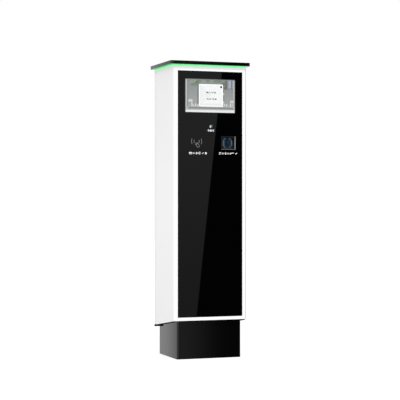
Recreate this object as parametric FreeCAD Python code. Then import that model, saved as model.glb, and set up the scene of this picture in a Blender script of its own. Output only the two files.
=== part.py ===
import FreeCAD, Part
import math
import os

from FreeCAD import Placement, Rotation, Vector

# Parking pay station: a slim post with a black glass front, on a plinth set back beneath it.
# Millimetres, +Z up, front facing -Y.  The origin is at floor level, under the middle of the cap.

# ---- driving dimensions ---------------------------------------------------------------------

BODY_WIDTH = 316.0
BODY_DEPTH = 260.0
OVERALL_HEIGHT = 1213.0
BODY_CORNER = 8.0
SHEET = 2.0

CAP_OVERHANG = 10.4
CAP_OVERHANG_SIDE = 15.0
CAP_HEIGHT = 14.0
CAP_CORNER = 10.0
LIGHT_HEIGHT = 8.2

UNDERSIDE_FRONT = 157.6
UNDERSIDE_REAR = 120.4

PLINTH_WIDTH = 277.4
PLINTH_SETBACK_FRONT = 13.9
PLINTH_SETBACK_REAR = 10.8
PLINTH_WALL = 3.0
PLINTH_CORNER = 6.0
BASE_PLATE = 6.0
ANCHOR_SPACING_X = 200.0
ANCHOR_SPACING_Y = 150.0
ANCHOR_HOLE_RADIUS = 7.0

GLASS_WIDTH = 279.6
GLASS_BOTTOM = 171.2
GLASS_TOP = 1173.5
GLASS_THICK = 4.0
GLASS_GAP = 0.5
LEDGE_WIDTH = 18.0
SEAL_THICK = 1.5

SCREEN_WIDTH = 217.0
SCREEN_BOTTOM = 1005.0
SCREEN_TOP = 1141.6

SCANNER_X = 79.4
SCANNER_Z = 882.0
SCANNER_WIDTH = 62.6
SCANNER_HEIGHT = 55.0

READER_X = -60.0
READER_Z = 872.0
READER_WIDTH = 92.0
READER_HEIGHT = 80.0

BUTTON_X = 2.5
BUTTON_Z = 948.0
BUTTON_RADIUS = 6.0
BUTTON_TRAVEL = 1.8
MICROPHONE_Z = 912.0
ROOF_CABLE_X = 0.0
ROOF_CABLE_Y = 60.0

DOOR_DEPTH = 22.0
SEAM = 2.0
DOOR_GAP = 1.5
HINGE_X = 162.5
HINGE_HEIGHTS = (240.0, 655.0, 1070.0)
HINGE_LENGTH = 60.0
KNUCKLE_RADIUS = 4.0
PIN_RADIUS = 2.0
RUNNING_CLEARANCE = 0.05
LOCK_X = -125.0
LOCK_HEIGHTS = {"upper": 1000.0, "lower": 300.0}

FAN_Z = 1085.0
FAN_SIZE = 80.0
FAN_DEPTH = 25.0
FAN_BORE = 38.0
FAN_BLADES = 7
INTAKE_Z = 230.0

SPEAKER_Y = -30.0
SPEAKER_Z = 948.0

# ---- derived places -------------------------------------------------------------------------

FAR = 400.0
HALF_WIDTH = BODY_WIDTH / 2
FRONT = -BODY_DEPTH / 2
REAR = BODY_DEPTH / 2
INNER_HALF = HALF_WIDTH - SHEET

CAP_BOTTOM = OVERALL_HEIGHT - CAP_HEIGHT
LIGHT_BOTTOM = CAP_BOTTOM - LIGHT_HEIGHT
ROOF_BOTTOM = LIGHT_BOTTOM - SHEET

SLOPE = (UNDERSIDE_FRONT - UNDERSIDE_REAR) / BODY_DEPTH
SLOPE_UP = Vector(0, math.sin(math.atan(SLOPE)), math.cos(math.atan(SLOPE)))
FLOOR_LIFT = SHEET / math.cos(math.atan(SLOPE))
DOOR_LIFT = FLOOR_LIFT + DOOR_GAP

PLINTH_FRONT = FRONT + PLINTH_SETBACK_FRONT
PLINTH_REAR = REAR - PLINTH_SETBACK_REAR
PLINTH_DEPTH = PLINTH_REAR - PLINTH_FRONT
PLINTH_MID = (PLINTH_FRONT + PLINTH_REAR) / 2
PLINTH_INNER_WIDTH = PLINTH_WIDTH - 2 * PLINTH_WALL
PLINTH_INNER_DEPTH = PLINTH_DEPTH - 2 * PLINTH_WALL
FIT_GAP = 0.1

GLASS_BACK = FRONT + GLASS_THICK
GLASS_HALF = GLASS_WIDTH / 2
OPENING_HALF = GLASS_HALF + GLASS_GAP
OPENING_BOTTOM = GLASS_BOTTOM - GLASS_GAP
OPENING_TOP = GLASS_TOP + GLASS_GAP
LEDGE_FACE = GLASS_BACK + SEAL_THICK
LEDGE_BACK = LEDGE_FACE + SHEET
SCREEN_Z = (SCREEN_BOTTOM + SCREEN_TOP) / 2
SCREEN_HEIGHT = SCREEN_TOP - SCREEN_BOTTOM

CARRIER_FRONT = -112.0
CARRIER_BACK = CARRIER_FRONT + SHEET
CARRIER_HALF = 136.0
CARRIER_BOTTOM = 830.0
CARRIER_TOP = 1166.0

DOOR_EDGE = REAR - DOOR_DEPTH
SEAM_Y = DOOR_EDGE - SEAM
HINGE_Y = (DOOR_EDGE + SEAM_Y) / 2
DOOR_INSIDE = REAR - SHEET
DOOR_TOP = ROOF_BOTTOM - DOOR_GAP
DOOR_RING_HALF = INNER_HALF - 0.5
DOOR_RING_WIDTH = 12.5
DOOR_RING_BOTTOM = 132.0
DOOR_RING_TOP = 1184.0
DOOR_RING_FRONT = 112.0


# ---- building blocks ------------------------------------------------------------------------


def box(x0, x1, y0, y1, z0, z1):
    """A block between two corners."""
    return Part.makeBox(x1 - x0, y1 - y0, z1 - z0, Vector(x0, y0, z0))


def block_at(x, z, width, height, y0, y1):
    """A block centred on x and z, between two depths."""
    return box(x - width / 2, x + width / 2, y0, y1, z - height / 2, z + height / 2)


def rod(radius, start, end):
    """A round bar from one point to another."""
    run = Vector(*end) - Vector(*start)
    return Part.makeCylinder(radius, run.Length, Vector(*start), run)


def rod_y(radius, x, z, y0, y1):
    """A round bar along Y."""
    return rod(radius, (x, y0, z), (x, y1, z))


def tube_y(outer, bore, x, z, y0, y1):
    """A round tube along Y."""
    return rod_y(outer, x, z, y0, y1).cut(rod_y(bore, x, z, y0 - 1, y1 + 1))


def hex_bar(across_flats, length):
    """A six-sided bar along +Z from the origin."""
    corner = across_flats / math.sqrt(3)
    points = [
        Vector(corner * math.cos(math.radians(60 * k)), corner * math.sin(math.radians(60 * k)), 0)
        for k in range(7)
    ]
    return Part.Face(Part.makePolygon(points)).extrude(Vector(0, 0, length))


def aimed(shape, position, direction=(0, 0, 1)):
    """A copy of a shape made along +Z from the origin, moved and pointed along a direction."""
    copy = shape.copy()
    copy.Placement = Placement(Vector(*position), Rotation(Vector(0, 0, 1), Vector(*direction)))
    return copy


def rounded_block(width, depth, z0, z1, radius, y_mid=0.0):
    """A block with its four upright edges rounded."""
    block = box(-width / 2, width / 2, y_mid - depth / 2, y_mid + depth / 2, z0, z1)
    upright = [e for e in block.Edges if abs(e.tangentAt(e.FirstParameter).z) > 0.99]
    return block.makeFillet(radius, upright)


def rounded_panel(x, z, width, height, radius, y0, y1):
    """An upright panel facing Y, with its four corners rounded."""
    panel = block_at(x, z, width, height, y0, y1)
    corners = [e for e in panel.Edges if abs(e.tangentAt(e.FirstParameter).y) > 0.99]
    return panel.makeFillet(radius, corners)


def upright_ring(half_width, z0, z1, border, y0, y1):
    """A rectangular picture frame standing in the XZ plane."""
    outer = box(-half_width, half_width, y0, y1, z0, z1)
    inner_half = half_width - border
    return outer.cut(box(-inner_half, inner_half, y0 - 1, y1 + 1, z0 + border, z1 - border))


def revolved(profile, axis_point, axis):
    """A solid turned from a closed (along, radius) profile about an axis."""
    points = [Vector(radius, 0, along) for along, radius in profile]
    face = Part.Face(Part.makePolygon(points + points[:1]))
    return aimed(face.revolve(Vector(0, 0, 0), Vector(0, 0, 1), 360), axis_point, axis)


def extruded_x(profile, x0, x1):
    """A prism along X from a closed (y, z) profile."""
    points = [Vector(x0, y, z) for y, z in profile]
    return Part.Face(Part.makePolygon(points + points[:1])).extrude(Vector(x1 - x0, 0, 0))


def fused(shapes):
    """All the shapes joined into one solid."""
    first, *others = shapes
    return first.multiFuse(others).removeSplitter() if others else first


def group(shapes):
    """Separate solids kept together under one name."""
    return Part.makeCompound(list(shapes))


def screw(shank_radius, shank_length, head):
    """A screw along +Z: its head stands on z = 0 and its shank hangs below."""
    shank = Part.makeCylinder(shank_radius, shank_length, Vector(0, 0, -shank_length))
    return fused([head, shank])


def pan_head(radius, height):
    """A low round screw head with a hexagon socket."""
    head = Part.makeCylinder(radius, height)
    rim = [e for e in head.Edges if e.Closed and e.CenterOfMass.z > height / 2]
    head = head.makeFillet(height * 0.4, rim)
    socket = hex_bar(radius * 0.9, height)
    socket.translate(Vector(0, 0, height * 0.5))
    return head.cut(socket)


# ---- the sloping underside ------------------------------------------------------------------


def underside(y):
    """Height of the body's sloping underside at a depth."""
    return UNDERSIDE_FRONT - SLOPE * (y - FRONT)


def slope_slab(low, high):
    """Everything between two surfaces parallel to the underside, as heights above it."""
    y0 = FRONT - FAR
    y1 = REAR + FAR
    profile = [
        (y0, underside(y0) + low),
        (y1, underside(y1) + low),
        (y1, underside(y1) + high),
        (y0, underside(y0) + high),
    ]
    return extruded_x(profile, -FAR, FAR)


def above_underside(low):
    """Everything higher than a surface parallel to the underside."""
    return slope_slab(low, 3 * OVERALL_HEIGHT)


def on_slope(shape, x, y, lift):
    """A shape made along +Z, stood square to the sloping underside at a distance from it."""
    place = Vector(x, y, underside(y)) + SLOPE_UP * lift
    return aimed(shape, tuple(place), tuple(SLOPE_UP))


# ---- plinth ---------------------------------------------------------------------------------

TOP_FRAME_BORDER = 28.0
TOP_FRAME_THICK = 3.0
TOP_FRAME_LIFT = TOP_FRAME_THICK / math.cos(math.atan(SLOPE))
CABINET_BOLT_RADIUS = 3.95
CABINET_BOLT_LENGTH = 14.0
CABINET_BOLT_FLATS = 13.0
CABINET_BOLT_HEAD = 5.3
CABINET_BOLT_X = 119.5
CABINET_BOLT_YS = (PLINTH_MID - 95.0, PLINTH_MID, PLINTH_MID + 95.0)
CABLE_ENTRY_X = 120.0
CABLE_ENTRY_Y = 90.0


def plinth_shell():
    """Folded steel tube whose top follows the sloping underside."""
    outer = rounded_block(PLINTH_WIDTH, PLINTH_DEPTH, 0, UNDERSIDE_FRONT, PLINTH_CORNER, PLINTH_MID)
    inner_corner = PLINTH_CORNER - PLINTH_WALL
    inner = rounded_block(
        PLINTH_INNER_WIDTH, PLINTH_INNER_DEPTH, -1, UNDERSIDE_FRONT + 1, inner_corner, PLINTH_MID
    )
    return outer.cut(inner).cut(above_underside(0))


def inside_plinth(z0, z1):
    """A block that just fits between the plinth's walls."""
    width = PLINTH_INNER_WIDTH - 2 * FIT_GAP
    depth = PLINTH_INNER_DEPTH - 2 * FIT_GAP
    return rounded_block(width, depth, z0, z1, PLINTH_CORNER - PLINTH_WALL - FIT_GAP, PLINTH_MID)


def plinth_base_plate():
    """Floor plate of the plinth, with four anchor holes and a cable opening."""
    plate = inside_plinth(0, BASE_PLATE)
    entry = rounded_block(CABLE_ENTRY_X, CABLE_ENTRY_Y, -1, BASE_PLATE + 1, 8, PLINTH_MID)
    holes = [
        rod(ANCHOR_HOLE_RADIUS, (x, y, -1), (x, y, BASE_PLATE + 1))
        for x in (-ANCHOR_SPACING_X / 2, ANCHOR_SPACING_X / 2)
        for y in (PLINTH_MID - ANCHOR_SPACING_Y / 2, PLINTH_MID + ANCHOR_SPACING_Y / 2)
    ]
    return plate.cut([entry] + holes)


def cabinet_bolt_places():
    """Where the six bolts hold the body on the plinth."""
    return [(side * CABINET_BOLT_X, y) for side in (-1, 1) for y in CABINET_BOLT_YS]


def plinth_top_frame():
    """Threaded frame welded inside the top of the plinth."""
    frame = inside_plinth(0, UNDERSIDE_FRONT + 10).common(slope_slab(-TOP_FRAME_LIFT, 0))
    width = PLINTH_INNER_WIDTH - 2 * TOP_FRAME_BORDER
    depth = PLINTH_INNER_DEPTH - 2 * TOP_FRAME_BORDER
    middle = rounded_block(width, depth, -1, UNDERSIDE_FRONT + 20, 6, PLINTH_MID)
    thread = rod(CABINET_BOLT_RADIUS + RUNNING_CLEARANCE, (0, 0, -20), (0, 0, 20))
    threads = [on_slope(thread, x, y, 0) for x, y in cabinet_bolt_places()]
    return frame.cut([middle] + threads)


def cabinet_bolts():
    """Six M8 bolts from inside the body down into the plinth's top frame."""
    head = hex_bar(CABINET_BOLT_FLATS, CABINET_BOLT_HEAD)
    bolt = screw(CABINET_BOLT_RADIUS, CABINET_BOLT_LENGTH, head)
    return group(on_slope(bolt, x, y, SHEET) for x, y in cabinet_bolt_places())


# ---- body -----------------------------------------------------------------------------------

REAR_FRAME_SIDE = 12.0
REAR_FRAME_SILL = 165.0
REAR_FRAME_HEAD = 1160.0
GLAND_OPENING_X = 150.0
GLAND_OPENING_Y = 80.0
GLAND_PLATE_X = 190.0
GLAND_PLATE_Y = 120.0
GLAND_PLATE_THICK = 3.0
GLAND_PLATE_LIFT = GLAND_PLATE_THICK / math.cos(math.atan(SLOPE))
GLAND_PLATE_SCREW_X = 86.0
GLAND_PLATE_SCREW_Y = 52.0
GLAND_XS = (-35.0, 35.0)
GLAND_THREAD_RADIUS = 12.5
GLAND_BORE_RADIUS = 7.0
GLAND_FLANGE_FLATS = 30.0
GLAND_FLANGE_HEIGHT = 7.0
GLAND_DOME_HEIGHT = 15.0
GLAND_THREAD_LENGTH = 16.0
GLAND_NUT_FLATS = 31.0
GLAND_NUT_HEIGHT = 5.0
SPEAKER_HOLE_RADIUS = 1.5
SPEAKER_HOLE_PITCH = 6.0
SPEAKER_HOLE_RINGS = 3


def body_block(inset, z0, z1):
    """The body's outline, moved inwards by an inset."""
    width = BODY_WIDTH - 2 * inset
    depth = BODY_DEPTH - 2 * inset
    return rounded_block(width, depth, z0, z1, BODY_CORNER - inset)


def speaker_holes():
    """Rings of small round holes through the right side, in front of the loudspeaker."""
    places = [(0.0, 0.0)]
    for ring in range(1, SPEAKER_HOLE_RINGS + 1):
        count = 6 * ring
        for k in range(count):
            turn = 2 * math.pi * k / count
            reach = ring * SPEAKER_HOLE_PITCH
            places.append((reach * math.cos(turn), reach * math.sin(turn)))
    return [
        rod(
            SPEAKER_HOLE_RADIUS,
            (INNER_HALF - 1, SPEAKER_Y + dy, SPEAKER_Z + dz),
            (HALF_WIDTH + 1, SPEAKER_Y + dy, SPEAKER_Z + dz),
        )
        for dy, dz in places
    ]


def casing_shell():
    """White sheet wrap: front frame, both sides and the inward frame the door closes on."""
    walls = body_block(0, 0, ROOF_BOTTOM).cut(body_block(SHEET, -1, ROOF_BOTTOM + 1))
    walls = walls.cut(box(-FAR, FAR, SEAM_Y, FAR, -1, ROOF_BOTTOM + 1)).common(above_underside(0))
    rear_frame = box(-INNER_HALF, INNER_HALF, SEAM_Y - SHEET, SEAM_Y, 0, ROOF_BOTTOM)
    doorway_half = INNER_HALF - REAR_FRAME_SIDE
    doorway = box(-doorway_half, doorway_half, 0, REAR, REAR_FRAME_SILL, REAR_FRAME_HEAD)
    rear_frame = rear_frame.cut(doorway).common(above_underside(FLOOR_LIFT))
    window = box(
        -OPENING_HALF, OPENING_HALF, FRONT - 1, FRONT + SHEET + 0.5, OPENING_BOTTOM, OPENING_TOP
    )
    return fused([walls, rear_frame]).cut([window] + speaker_holes())


def floor_plate():
    """Black sloping plate that closes the body's underside, the door's strip included."""
    inside = body_block(SHEET + FIT_GAP, 0, 2 * UNDERSIDE_FRONT)
    behind = body_block(0, 0, 2 * UNDERSIDE_FRONT)
    behind = behind.common(box(-FAR, FAR, SEAM_Y + FIT_GAP, FAR, 0, 2 * UNDERSIDE_FRONT))
    plate = fused([inside, behind]).common(slope_slab(0, FLOOR_LIFT))
    opening = rounded_block(
        GLAND_OPENING_X, GLAND_OPENING_Y, 0, 2 * UNDERSIDE_FRONT, 6, PLINTH_MID
    )
    hole = rod(CABINET_BOLT_RADIUS + 0.5, (0, 0, -20), (0, 0, 20))
    holes = [on_slope(hole, x, y, 0) for x, y in cabinet_bolt_places()]
    return plate.cut([opening] + holes)


def gland_plate():
    """Removable plate over the cable opening, held by four captive screws."""
    block = rounded_block(GLAND_PLATE_X, GLAND_PLATE_Y, 0, 2 * UNDERSIDE_FRONT, 5, PLINTH_MID)
    top = FLOOR_LIFT + GLAND_PLATE_LIFT
    plate = block.common(slope_slab(FLOOR_LIFT, top))
    hole = rod(GLAND_THREAD_RADIUS + FIT_GAP, (0, 0, -20), (0, 0, 20))
    plate = plate.cut([on_slope(hole, x, PLINTH_MID, 0) for x in GLAND_XS])
    head = pan_head(4.5, 3)
    sunk = SHEET + GLAND_PLATE_THICK - 0.1
    heads = [
        on_slope(head, side_x * GLAND_PLATE_SCREW_X, PLINTH_MID + side_y * GLAND_PLATE_SCREW_Y, sunk)
        for side_x in (-1, 1)
        for side_y in (-1, 1)
    ]
    return fused([plate] + heads)


def cable_gland():
    """One gland along +Z: flange on z = 0, thread and nut below, dome nut above."""
    flange = hex_bar(GLAND_FLANGE_FLATS, GLAND_FLANGE_HEIGHT)
    thread_end = Vector(0, 0, -GLAND_THREAD_LENGTH)
    thread = Part.makeCylinder(GLAND_THREAD_RADIUS, GLAND_THREAD_LENGTH, thread_end)
    dome_foot = Vector(0, 0, GLAND_FLANGE_HEIGHT)
    dome = Part.makeCone(13.5, 9.5, GLAND_DOME_HEIGHT, dome_foot)
    nut = hex_bar(GLAND_NUT_FLATS, GLAND_NUT_HEIGHT)
    nut.translate(Vector(0, 0, -GLAND_PLATE_THICK - FIT_GAP - GLAND_NUT_HEIGHT))
    bore = Part.makeCylinder(GLAND_BORE_RADIUS, 60, Vector(0, 0, -30))
    return fused([flange, thread, dome, nut]).cut(bore)


def cable_glands():
    """Two empty glands for the supply and data cables."""
    lift = SHEET + GLAND_PLATE_THICK
    return group(on_slope(cable_gland(), x, PLINTH_MID, lift) for x in GLAND_XS)


# ---- glass front ----------------------------------------------------------------------------

SCANNER_CUT_WIDTH = SCANNER_WIDTH + 2 * FIT_GAP
SCANNER_CUT_HEIGHT = SCANNER_HEIGHT + 2 * FIT_GAP
BUTTON_BARREL_RADIUS = 8.0
MICROPHONE_HOLE_RADIUS = 0.8
TOUCH_THICK = 2.4
SEAL_INSET = 2.0
SEAL_WIDTH = 12.0
LCD_RIM_BORDER = 6.0
LCD_RIM_THICK = 5.0
LCD_BOSS_X = 100.0
LCD_BOSS_Z = 60.0
LCD_BOSS_RADIUS = 3.5


def glass_ledge_frame():
    """Steel tray frame welded behind the front opening; the glass rests on its ledge."""
    wall = upright_ring(
        OPENING_HALF + SHEET,
        OPENING_BOTTOM - SHEET,
        OPENING_TOP + SHEET,
        SHEET,
        FRONT + SHEET,
        LEDGE_BACK,
    )
    ledge = upright_ring(
        OPENING_HALF, OPENING_BOTTOM, OPENING_TOP, LEDGE_WIDTH, LEDGE_FACE, LEDGE_BACK
    )
    return fused([wall, ledge])


def glass_seal():
    """Foam seal between the glass and its ledge."""
    return upright_ring(
        GLASS_HALF - SEAL_INSET,
        GLASS_BOTTOM + SEAL_INSET,
        GLASS_TOP - SEAL_INSET,
        SEAL_WIDTH,
        GLASS_BACK,
        LEDGE_FACE,
    )


def front_glass():
    """Black-backed glass with openings for the display, scanner, help button and microphone."""
    middle = (GLASS_BOTTOM + GLASS_TOP) / 2
    height = GLASS_TOP - GLASS_BOTTOM
    glass = rounded_panel(0, middle, GLASS_WIDTH, height, 2, FRONT, GLASS_BACK)
    y0 = FRONT - 1
    y1 = GLASS_BACK + 1
    openings = [
        block_at(0, SCREEN_Z, SCREEN_WIDTH, SCREEN_HEIGHT, y0, y1),
        block_at(SCANNER_X, SCANNER_Z, SCANNER_CUT_WIDTH, SCANNER_CUT_HEIGHT, y0, y1),
        rod_y(BUTTON_BARREL_RADIUS + FIT_GAP, BUTTON_X, BUTTON_Z, y0, y1),
        rod_y(MICROPHONE_HOLE_RADIUS, BUTTON_X, MICROPHONE_Z, y0, y1),
    ]
    return glass.cut(openings)


def touch_glass():
    """Clear touch glass set flush in the display opening."""
    gap = 2 * FIT_GAP
    width = SCREEN_WIDTH - gap
    height = SCREEN_HEIGHT - gap
    return block_at(0, SCREEN_Z, width, height, FRONT, FRONT + TOUCH_THICK)


def lcd_panel():
    """Flat display whose raised picture area fills the opening, with four mounting bosses."""
    picture_front = FRONT + TOUCH_THICK + FIT_GAP
    rim_front = GLASS_BACK + FIT_GAP
    rim_back = rim_front + LCD_RIM_THICK
    width = SCREEN_WIDTH - 6 * FIT_GAP
    height = SCREEN_HEIGHT - 6 * FIT_GAP
    rim_width = SCREEN_WIDTH + 2 * LCD_RIM_BORDER
    rim_height = SCREEN_HEIGHT + 2 * LCD_RIM_BORDER
    picture = block_at(0, SCREEN_Z, width, height, picture_front, rim_back)
    rim = block_at(0, SCREEN_Z, rim_width, rim_height, rim_front, rim_back)
    bosses = [
        rod_y(LCD_BOSS_RADIUS, x, SCREEN_Z + dz, rim_back, CARRIER_FRONT)
        for x in (-LCD_BOSS_X, LCD_BOSS_X)
        for dz in (-LCD_BOSS_Z, LCD_BOSS_Z)
    ]
    return fused([picture, rim] + bosses)


# ---- carrier plate and what it holds --------------------------------------------------------

SCANNER_BODY_WIDTH = 62.0
SCANNER_BODY_HEIGHT = 52.0
SCANNER_INSIDE_WIDTH = 53.0
SCANNER_INSIDE_HEIGHT = 46.0
SCANNER_SEAT_FRONT = -124.4
SCANNER_FLANGE_BACK = -122.0
SCANNER_BODY_BACK = -90.0
SCANNER_POCKET_BACK = -112.0
SCANNER_LENS_Z = SCANNER_Z + 3.0
SCANNER_LENS_RADIUS = 9.0
SCANNER_RIB_X = 20.5
SCANNER_RIB_WIDTH = 5.0
SCANNER_RIB_HEIGHT = 28.0
SCANNER_RIB_FRONT = -119.0
SCANNER_LAMP_X = 11.0
SCANNER_LAMP_HEIGHTS = (SCANNER_Z - 16.5, SCANNER_Z + 17.5)
SCANNER_LAMP_RADIUS = 2.5
SCANNER_LAMP_FRONT = -116.0
STANDOFF_X = 131.3
STANDOFF_HEIGHTS = (850.0, 950.0, 1050.0, 1150.0)
BOARD_THICK = 1.6
BOARD_STANDOFF = 6.0
DISPLAY_BOARD_Z = SCREEN_Z + 5.0
DISPLAY_SOCKET_Z = SCREEN_Z - 26.0
DISPLAY_SOCKET_X = 13.0
READER_SOCKET_Z = READER_Z - 28.0
READER_BOARD_FRONT = GLASS_BACK + 4.0
READER_SOCKET_BACK = READER_BOARD_FRONT + 8.0


def carrier_hole_places():
    """Standoff centres down both edges of the carrier plate."""
    return [(x, z) for x in (-STANDOFF_X, STANDOFF_X) for z in STANDOFF_HEIGHTS]


def front_carrier_plate():
    """Steel plate behind the glass that carries the display, reader, scanner and button."""
    middle = (CARRIER_BOTTOM + CARRIER_TOP) / 2
    height = CARRIER_TOP - CARRIER_BOTTOM
    plate = rounded_panel(0, middle, 2 * CARRIER_HALF, height, 4, CARRIER_FRONT, CARRIER_BACK)
    y0 = CARRIER_FRONT - 1
    y1 = CARRIER_BACK + 1
    openings = [
        block_at(SCANNER_X, SCANNER_Z, SCANNER_BODY_WIDTH + 1, SCANNER_BODY_HEIGHT + 1, y0, y1),
        rod_y(14, BUTTON_X, BUTTON_Z, y0, y1),
        block_at(0, SCREEN_Z - 50, 80, 14, y0, y1),
        block_at(READER_X, READER_SOCKET_Z, 30, 10, y0, y1),
    ]
    openings += [rod_y(2.1, x, z, y0, y1) for x, z in carrier_hole_places()]
    return plate.cut(openings)


def carrier_standoff():
    """One standoff along +Z from the ledge, with its stud and nut."""
    gap = CARRIER_FRONT - LEDGE_BACK
    spacer = hex_bar(8, gap)
    stud = Part.makeCylinder(2.0, SHEET + 6, Vector(0, 0, gap))
    nut = hex_bar(7, 3.2)
    nut.translate(Vector(0, 0, gap + SHEET))
    return fused([spacer, stud, nut])


def carrier_standoffs():
    """Eight standoffs that hold the carrier plate behind the glass ledge."""
    return group(
        aimed(carrier_standoff(), (x, LEDGE_BACK, z), (0, 1, 0)) for x, z in carrier_hole_places()
    )


def display_board():
    """Driver board on four pillars behind the carrier plate, with chips and connectors."""
    front = CARRIER_BACK + BOARD_STANDOFF
    face = front + BOARD_THICK
    board = block_at(0, DISPLAY_BOARD_Z, 130, 80, front, face)
    pillars = [
        rod_y(2.5, x, DISPLAY_BOARD_Z + dz, CARRIER_BACK, front)
        for x in (-60, 60)
        for dz in (-35, 35)
    ]
    parts = [
        block_at(-30, SCREEN_Z + 15, 22, 22, face, face + 2.5),
        block_at(15, SCREEN_Z + 22, 14, 10, face, face + 2.5),
        block_at(45, SCREEN_Z - 5, 12, 30, face, face + 8),
        block_at(DISPLAY_SOCKET_X - 23, DISPLAY_SOCKET_Z, 46, 8, face, face + 7),
    ]
    return fused([board] + pillars + parts)


def funnel(width0, height0, y0, width1, height1, y1):
    """A four-sided funnel on the scanner's axis between two rectangles."""
    wires = []
    for width, height, y in ((width0, height0, y0), (width1, height1, y1)):
        corners = [
            Vector(SCANNER_X + side_x * width / 2, y, SCANNER_Z + side_z * height / 2)
            for side_x, side_z in ((-1, -1), (1, -1), (1, 1), (-1, 1), (-1, -1))
        ]
        wires.append(Part.makePolygon(corners))
    return Part.makeLoft(wires, True, True)


def scanner_block(width, height, y0, y1):
    """A block on the scanner's axis."""
    return block_at(SCANNER_X, SCANNER_Z, width, height, y0, y1)


def scanner_bezel():
    """Bevelled frame around the scanner window, with a flange behind the glass."""
    lip = 1.0
    throat = FRONT + 4
    outer = scanner_block(SCANNER_WIDTH, SCANNER_HEIGHT, FRONT - 0.4, SCANNER_FLANGE_BACK)
    flange = scanner_block(
        SCANNER_WIDTH + 10, SCANNER_HEIGHT + 10, GLASS_BACK + FIT_GAP, SCANNER_FLANGE_BACK
    )
    bevel = funnel(
        SCANNER_WIDTH - 2 * lip,
        SCANNER_HEIGHT - 2 * lip,
        FRONT - 0.5,
        SCANNER_INSIDE_WIDTH,
        SCANNER_INSIDE_HEIGHT,
        throat,
    )
    straight = scanner_block(SCANNER_INSIDE_WIDTH, SCANNER_INSIDE_HEIGHT, throat, -100)
    seat = scanner_block(
        SCANNER_INSIDE_WIDTH + 3, SCANNER_INSIDE_HEIGHT + 3, SCANNER_SEAT_FRONT, -100
    )
    return fused([outer, flange]).cut([bevel, straight, seat])


def scanner_window():
    """Clear window pressed into the back of the bezel."""
    width = SCANNER_INSIDE_WIDTH + 3 - 2 * FIT_GAP
    height = SCANNER_INSIDE_HEIGHT + 3 - 2 * FIT_GAP
    return scanner_block(width, height, SCANNER_SEAT_FRONT, SCANNER_SEAT_FRONT + 1.6)


def scanner_body():
    """Scanner housing: open towards the window, with a bracket rib down each side."""
    front = SCANNER_FLANGE_BACK + FIT_GAP
    outer = scanner_block(SCANNER_BODY_WIDTH, SCANNER_BODY_HEIGHT, front, SCANNER_BODY_BACK)
    pocket = scanner_block(
        SCANNER_INSIDE_WIDTH, SCANNER_INSIDE_HEIGHT, front - 1, SCANNER_POCKET_BACK
    )
    ears = scanner_block(SCANNER_BODY_WIDTH + 22, 20, CARRIER_BACK, CARRIER_BACK + 3)
    ribs = [
        block_at(
            x,
            SCANNER_Z,
            SCANNER_RIB_WIDTH,
            SCANNER_RIB_HEIGHT,
            SCANNER_RIB_FRONT,
            SCANNER_POCKET_BACK,
        )
        for x in (SCANNER_X - SCANNER_RIB_X, SCANNER_X + SCANNER_RIB_X)
    ]
    return fused([fused([outer, ears]).cut(pocket)] + ribs)


def scanner_lens():
    """Stepped lens barrel on the scanner's back wall."""
    step = SCANNER_POCKET_BACK - 5
    tip = step - 3.5
    barrel = rod_y(SCANNER_LENS_RADIUS, SCANNER_X, SCANNER_LENS_Z, step, SCANNER_POCKET_BACK)
    nose = rod_y(SCANNER_LENS_RADIUS - 2.5, SCANNER_X, SCANNER_LENS_Z, tip, step)
    dish = Part.makeSphere(9, Vector(SCANNER_X, tip - 7.2, SCANNER_LENS_Z))
    return fused([barrel, nose]).cut(dish)


def scanner_lamps():
    """Four small lamps around the lens."""
    lamps = []
    for x in (SCANNER_X - SCANNER_LAMP_X, SCANNER_X + SCANNER_LAMP_X):
        for z in SCANNER_LAMP_HEIGHTS:
            tip = (x, SCANNER_LAMP_FRONT, z)
            dome = Part.makeSphere(SCANNER_LAMP_RADIUS, Vector(*tip))
            stem = rod(SCANNER_LAMP_RADIUS, tip, (x, SCANNER_POCKET_BACK, z))
            lamps.append(fused([stem, dome]))
    return group(lamps)


def card_reader_case():
    """Plastic tray behind the card-tap field, closed at the back by the carrier plate."""
    front = GLASS_BACK + 0.5
    back = CARRIER_FRONT - FIT_GAP
    tray = rounded_panel(READER_X, READER_Z, READER_WIDTH, READER_HEIGHT, 5, front, back)
    hollow = rounded_panel(
        READER_X, READER_Z, READER_WIDTH - 4, READER_HEIGHT - 4, 3, front + 2, back + 1
    )
    return tray.cut(hollow)


def card_reader_board():
    """Antenna board inside the reader's tray, with its chip and socket."""
    front = READER_BOARD_FRONT
    face = front + BOARD_THICK
    board = block_at(READER_X, READER_Z, READER_WIDTH - 8, READER_HEIGHT - 8, front, face)
    chip = block_at(READER_X + 10, READER_Z + 5, 14, 14, face, face + 2.4)
    socket = block_at(READER_X, READER_SOCKET_Z, 24, 7, face, READER_SOCKET_BACK)
    return fused([board, chip, socket])


# ---- help button, microphone and loudspeaker ------------------------------------------------

BUTTON_FLANGE_FRONT = FRONT - 1.6
BUTTON_BARREL_BACK = -104.0
BUTTON_BORE_FLOOR = -119.0
BUTTON_SKIRT_BACK = -124.0
BUTTON_STEM_RADIUS = 3.0
BUTTON_TIP = FRONT - 3.2
BUTTON_FLANGE_RADIUS = 9.0
BUTTON_DOME_RADIUS = 16.0
SWITCH_BACK = -90.0
MICROPHONE_RADIUS = 4.85


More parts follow.
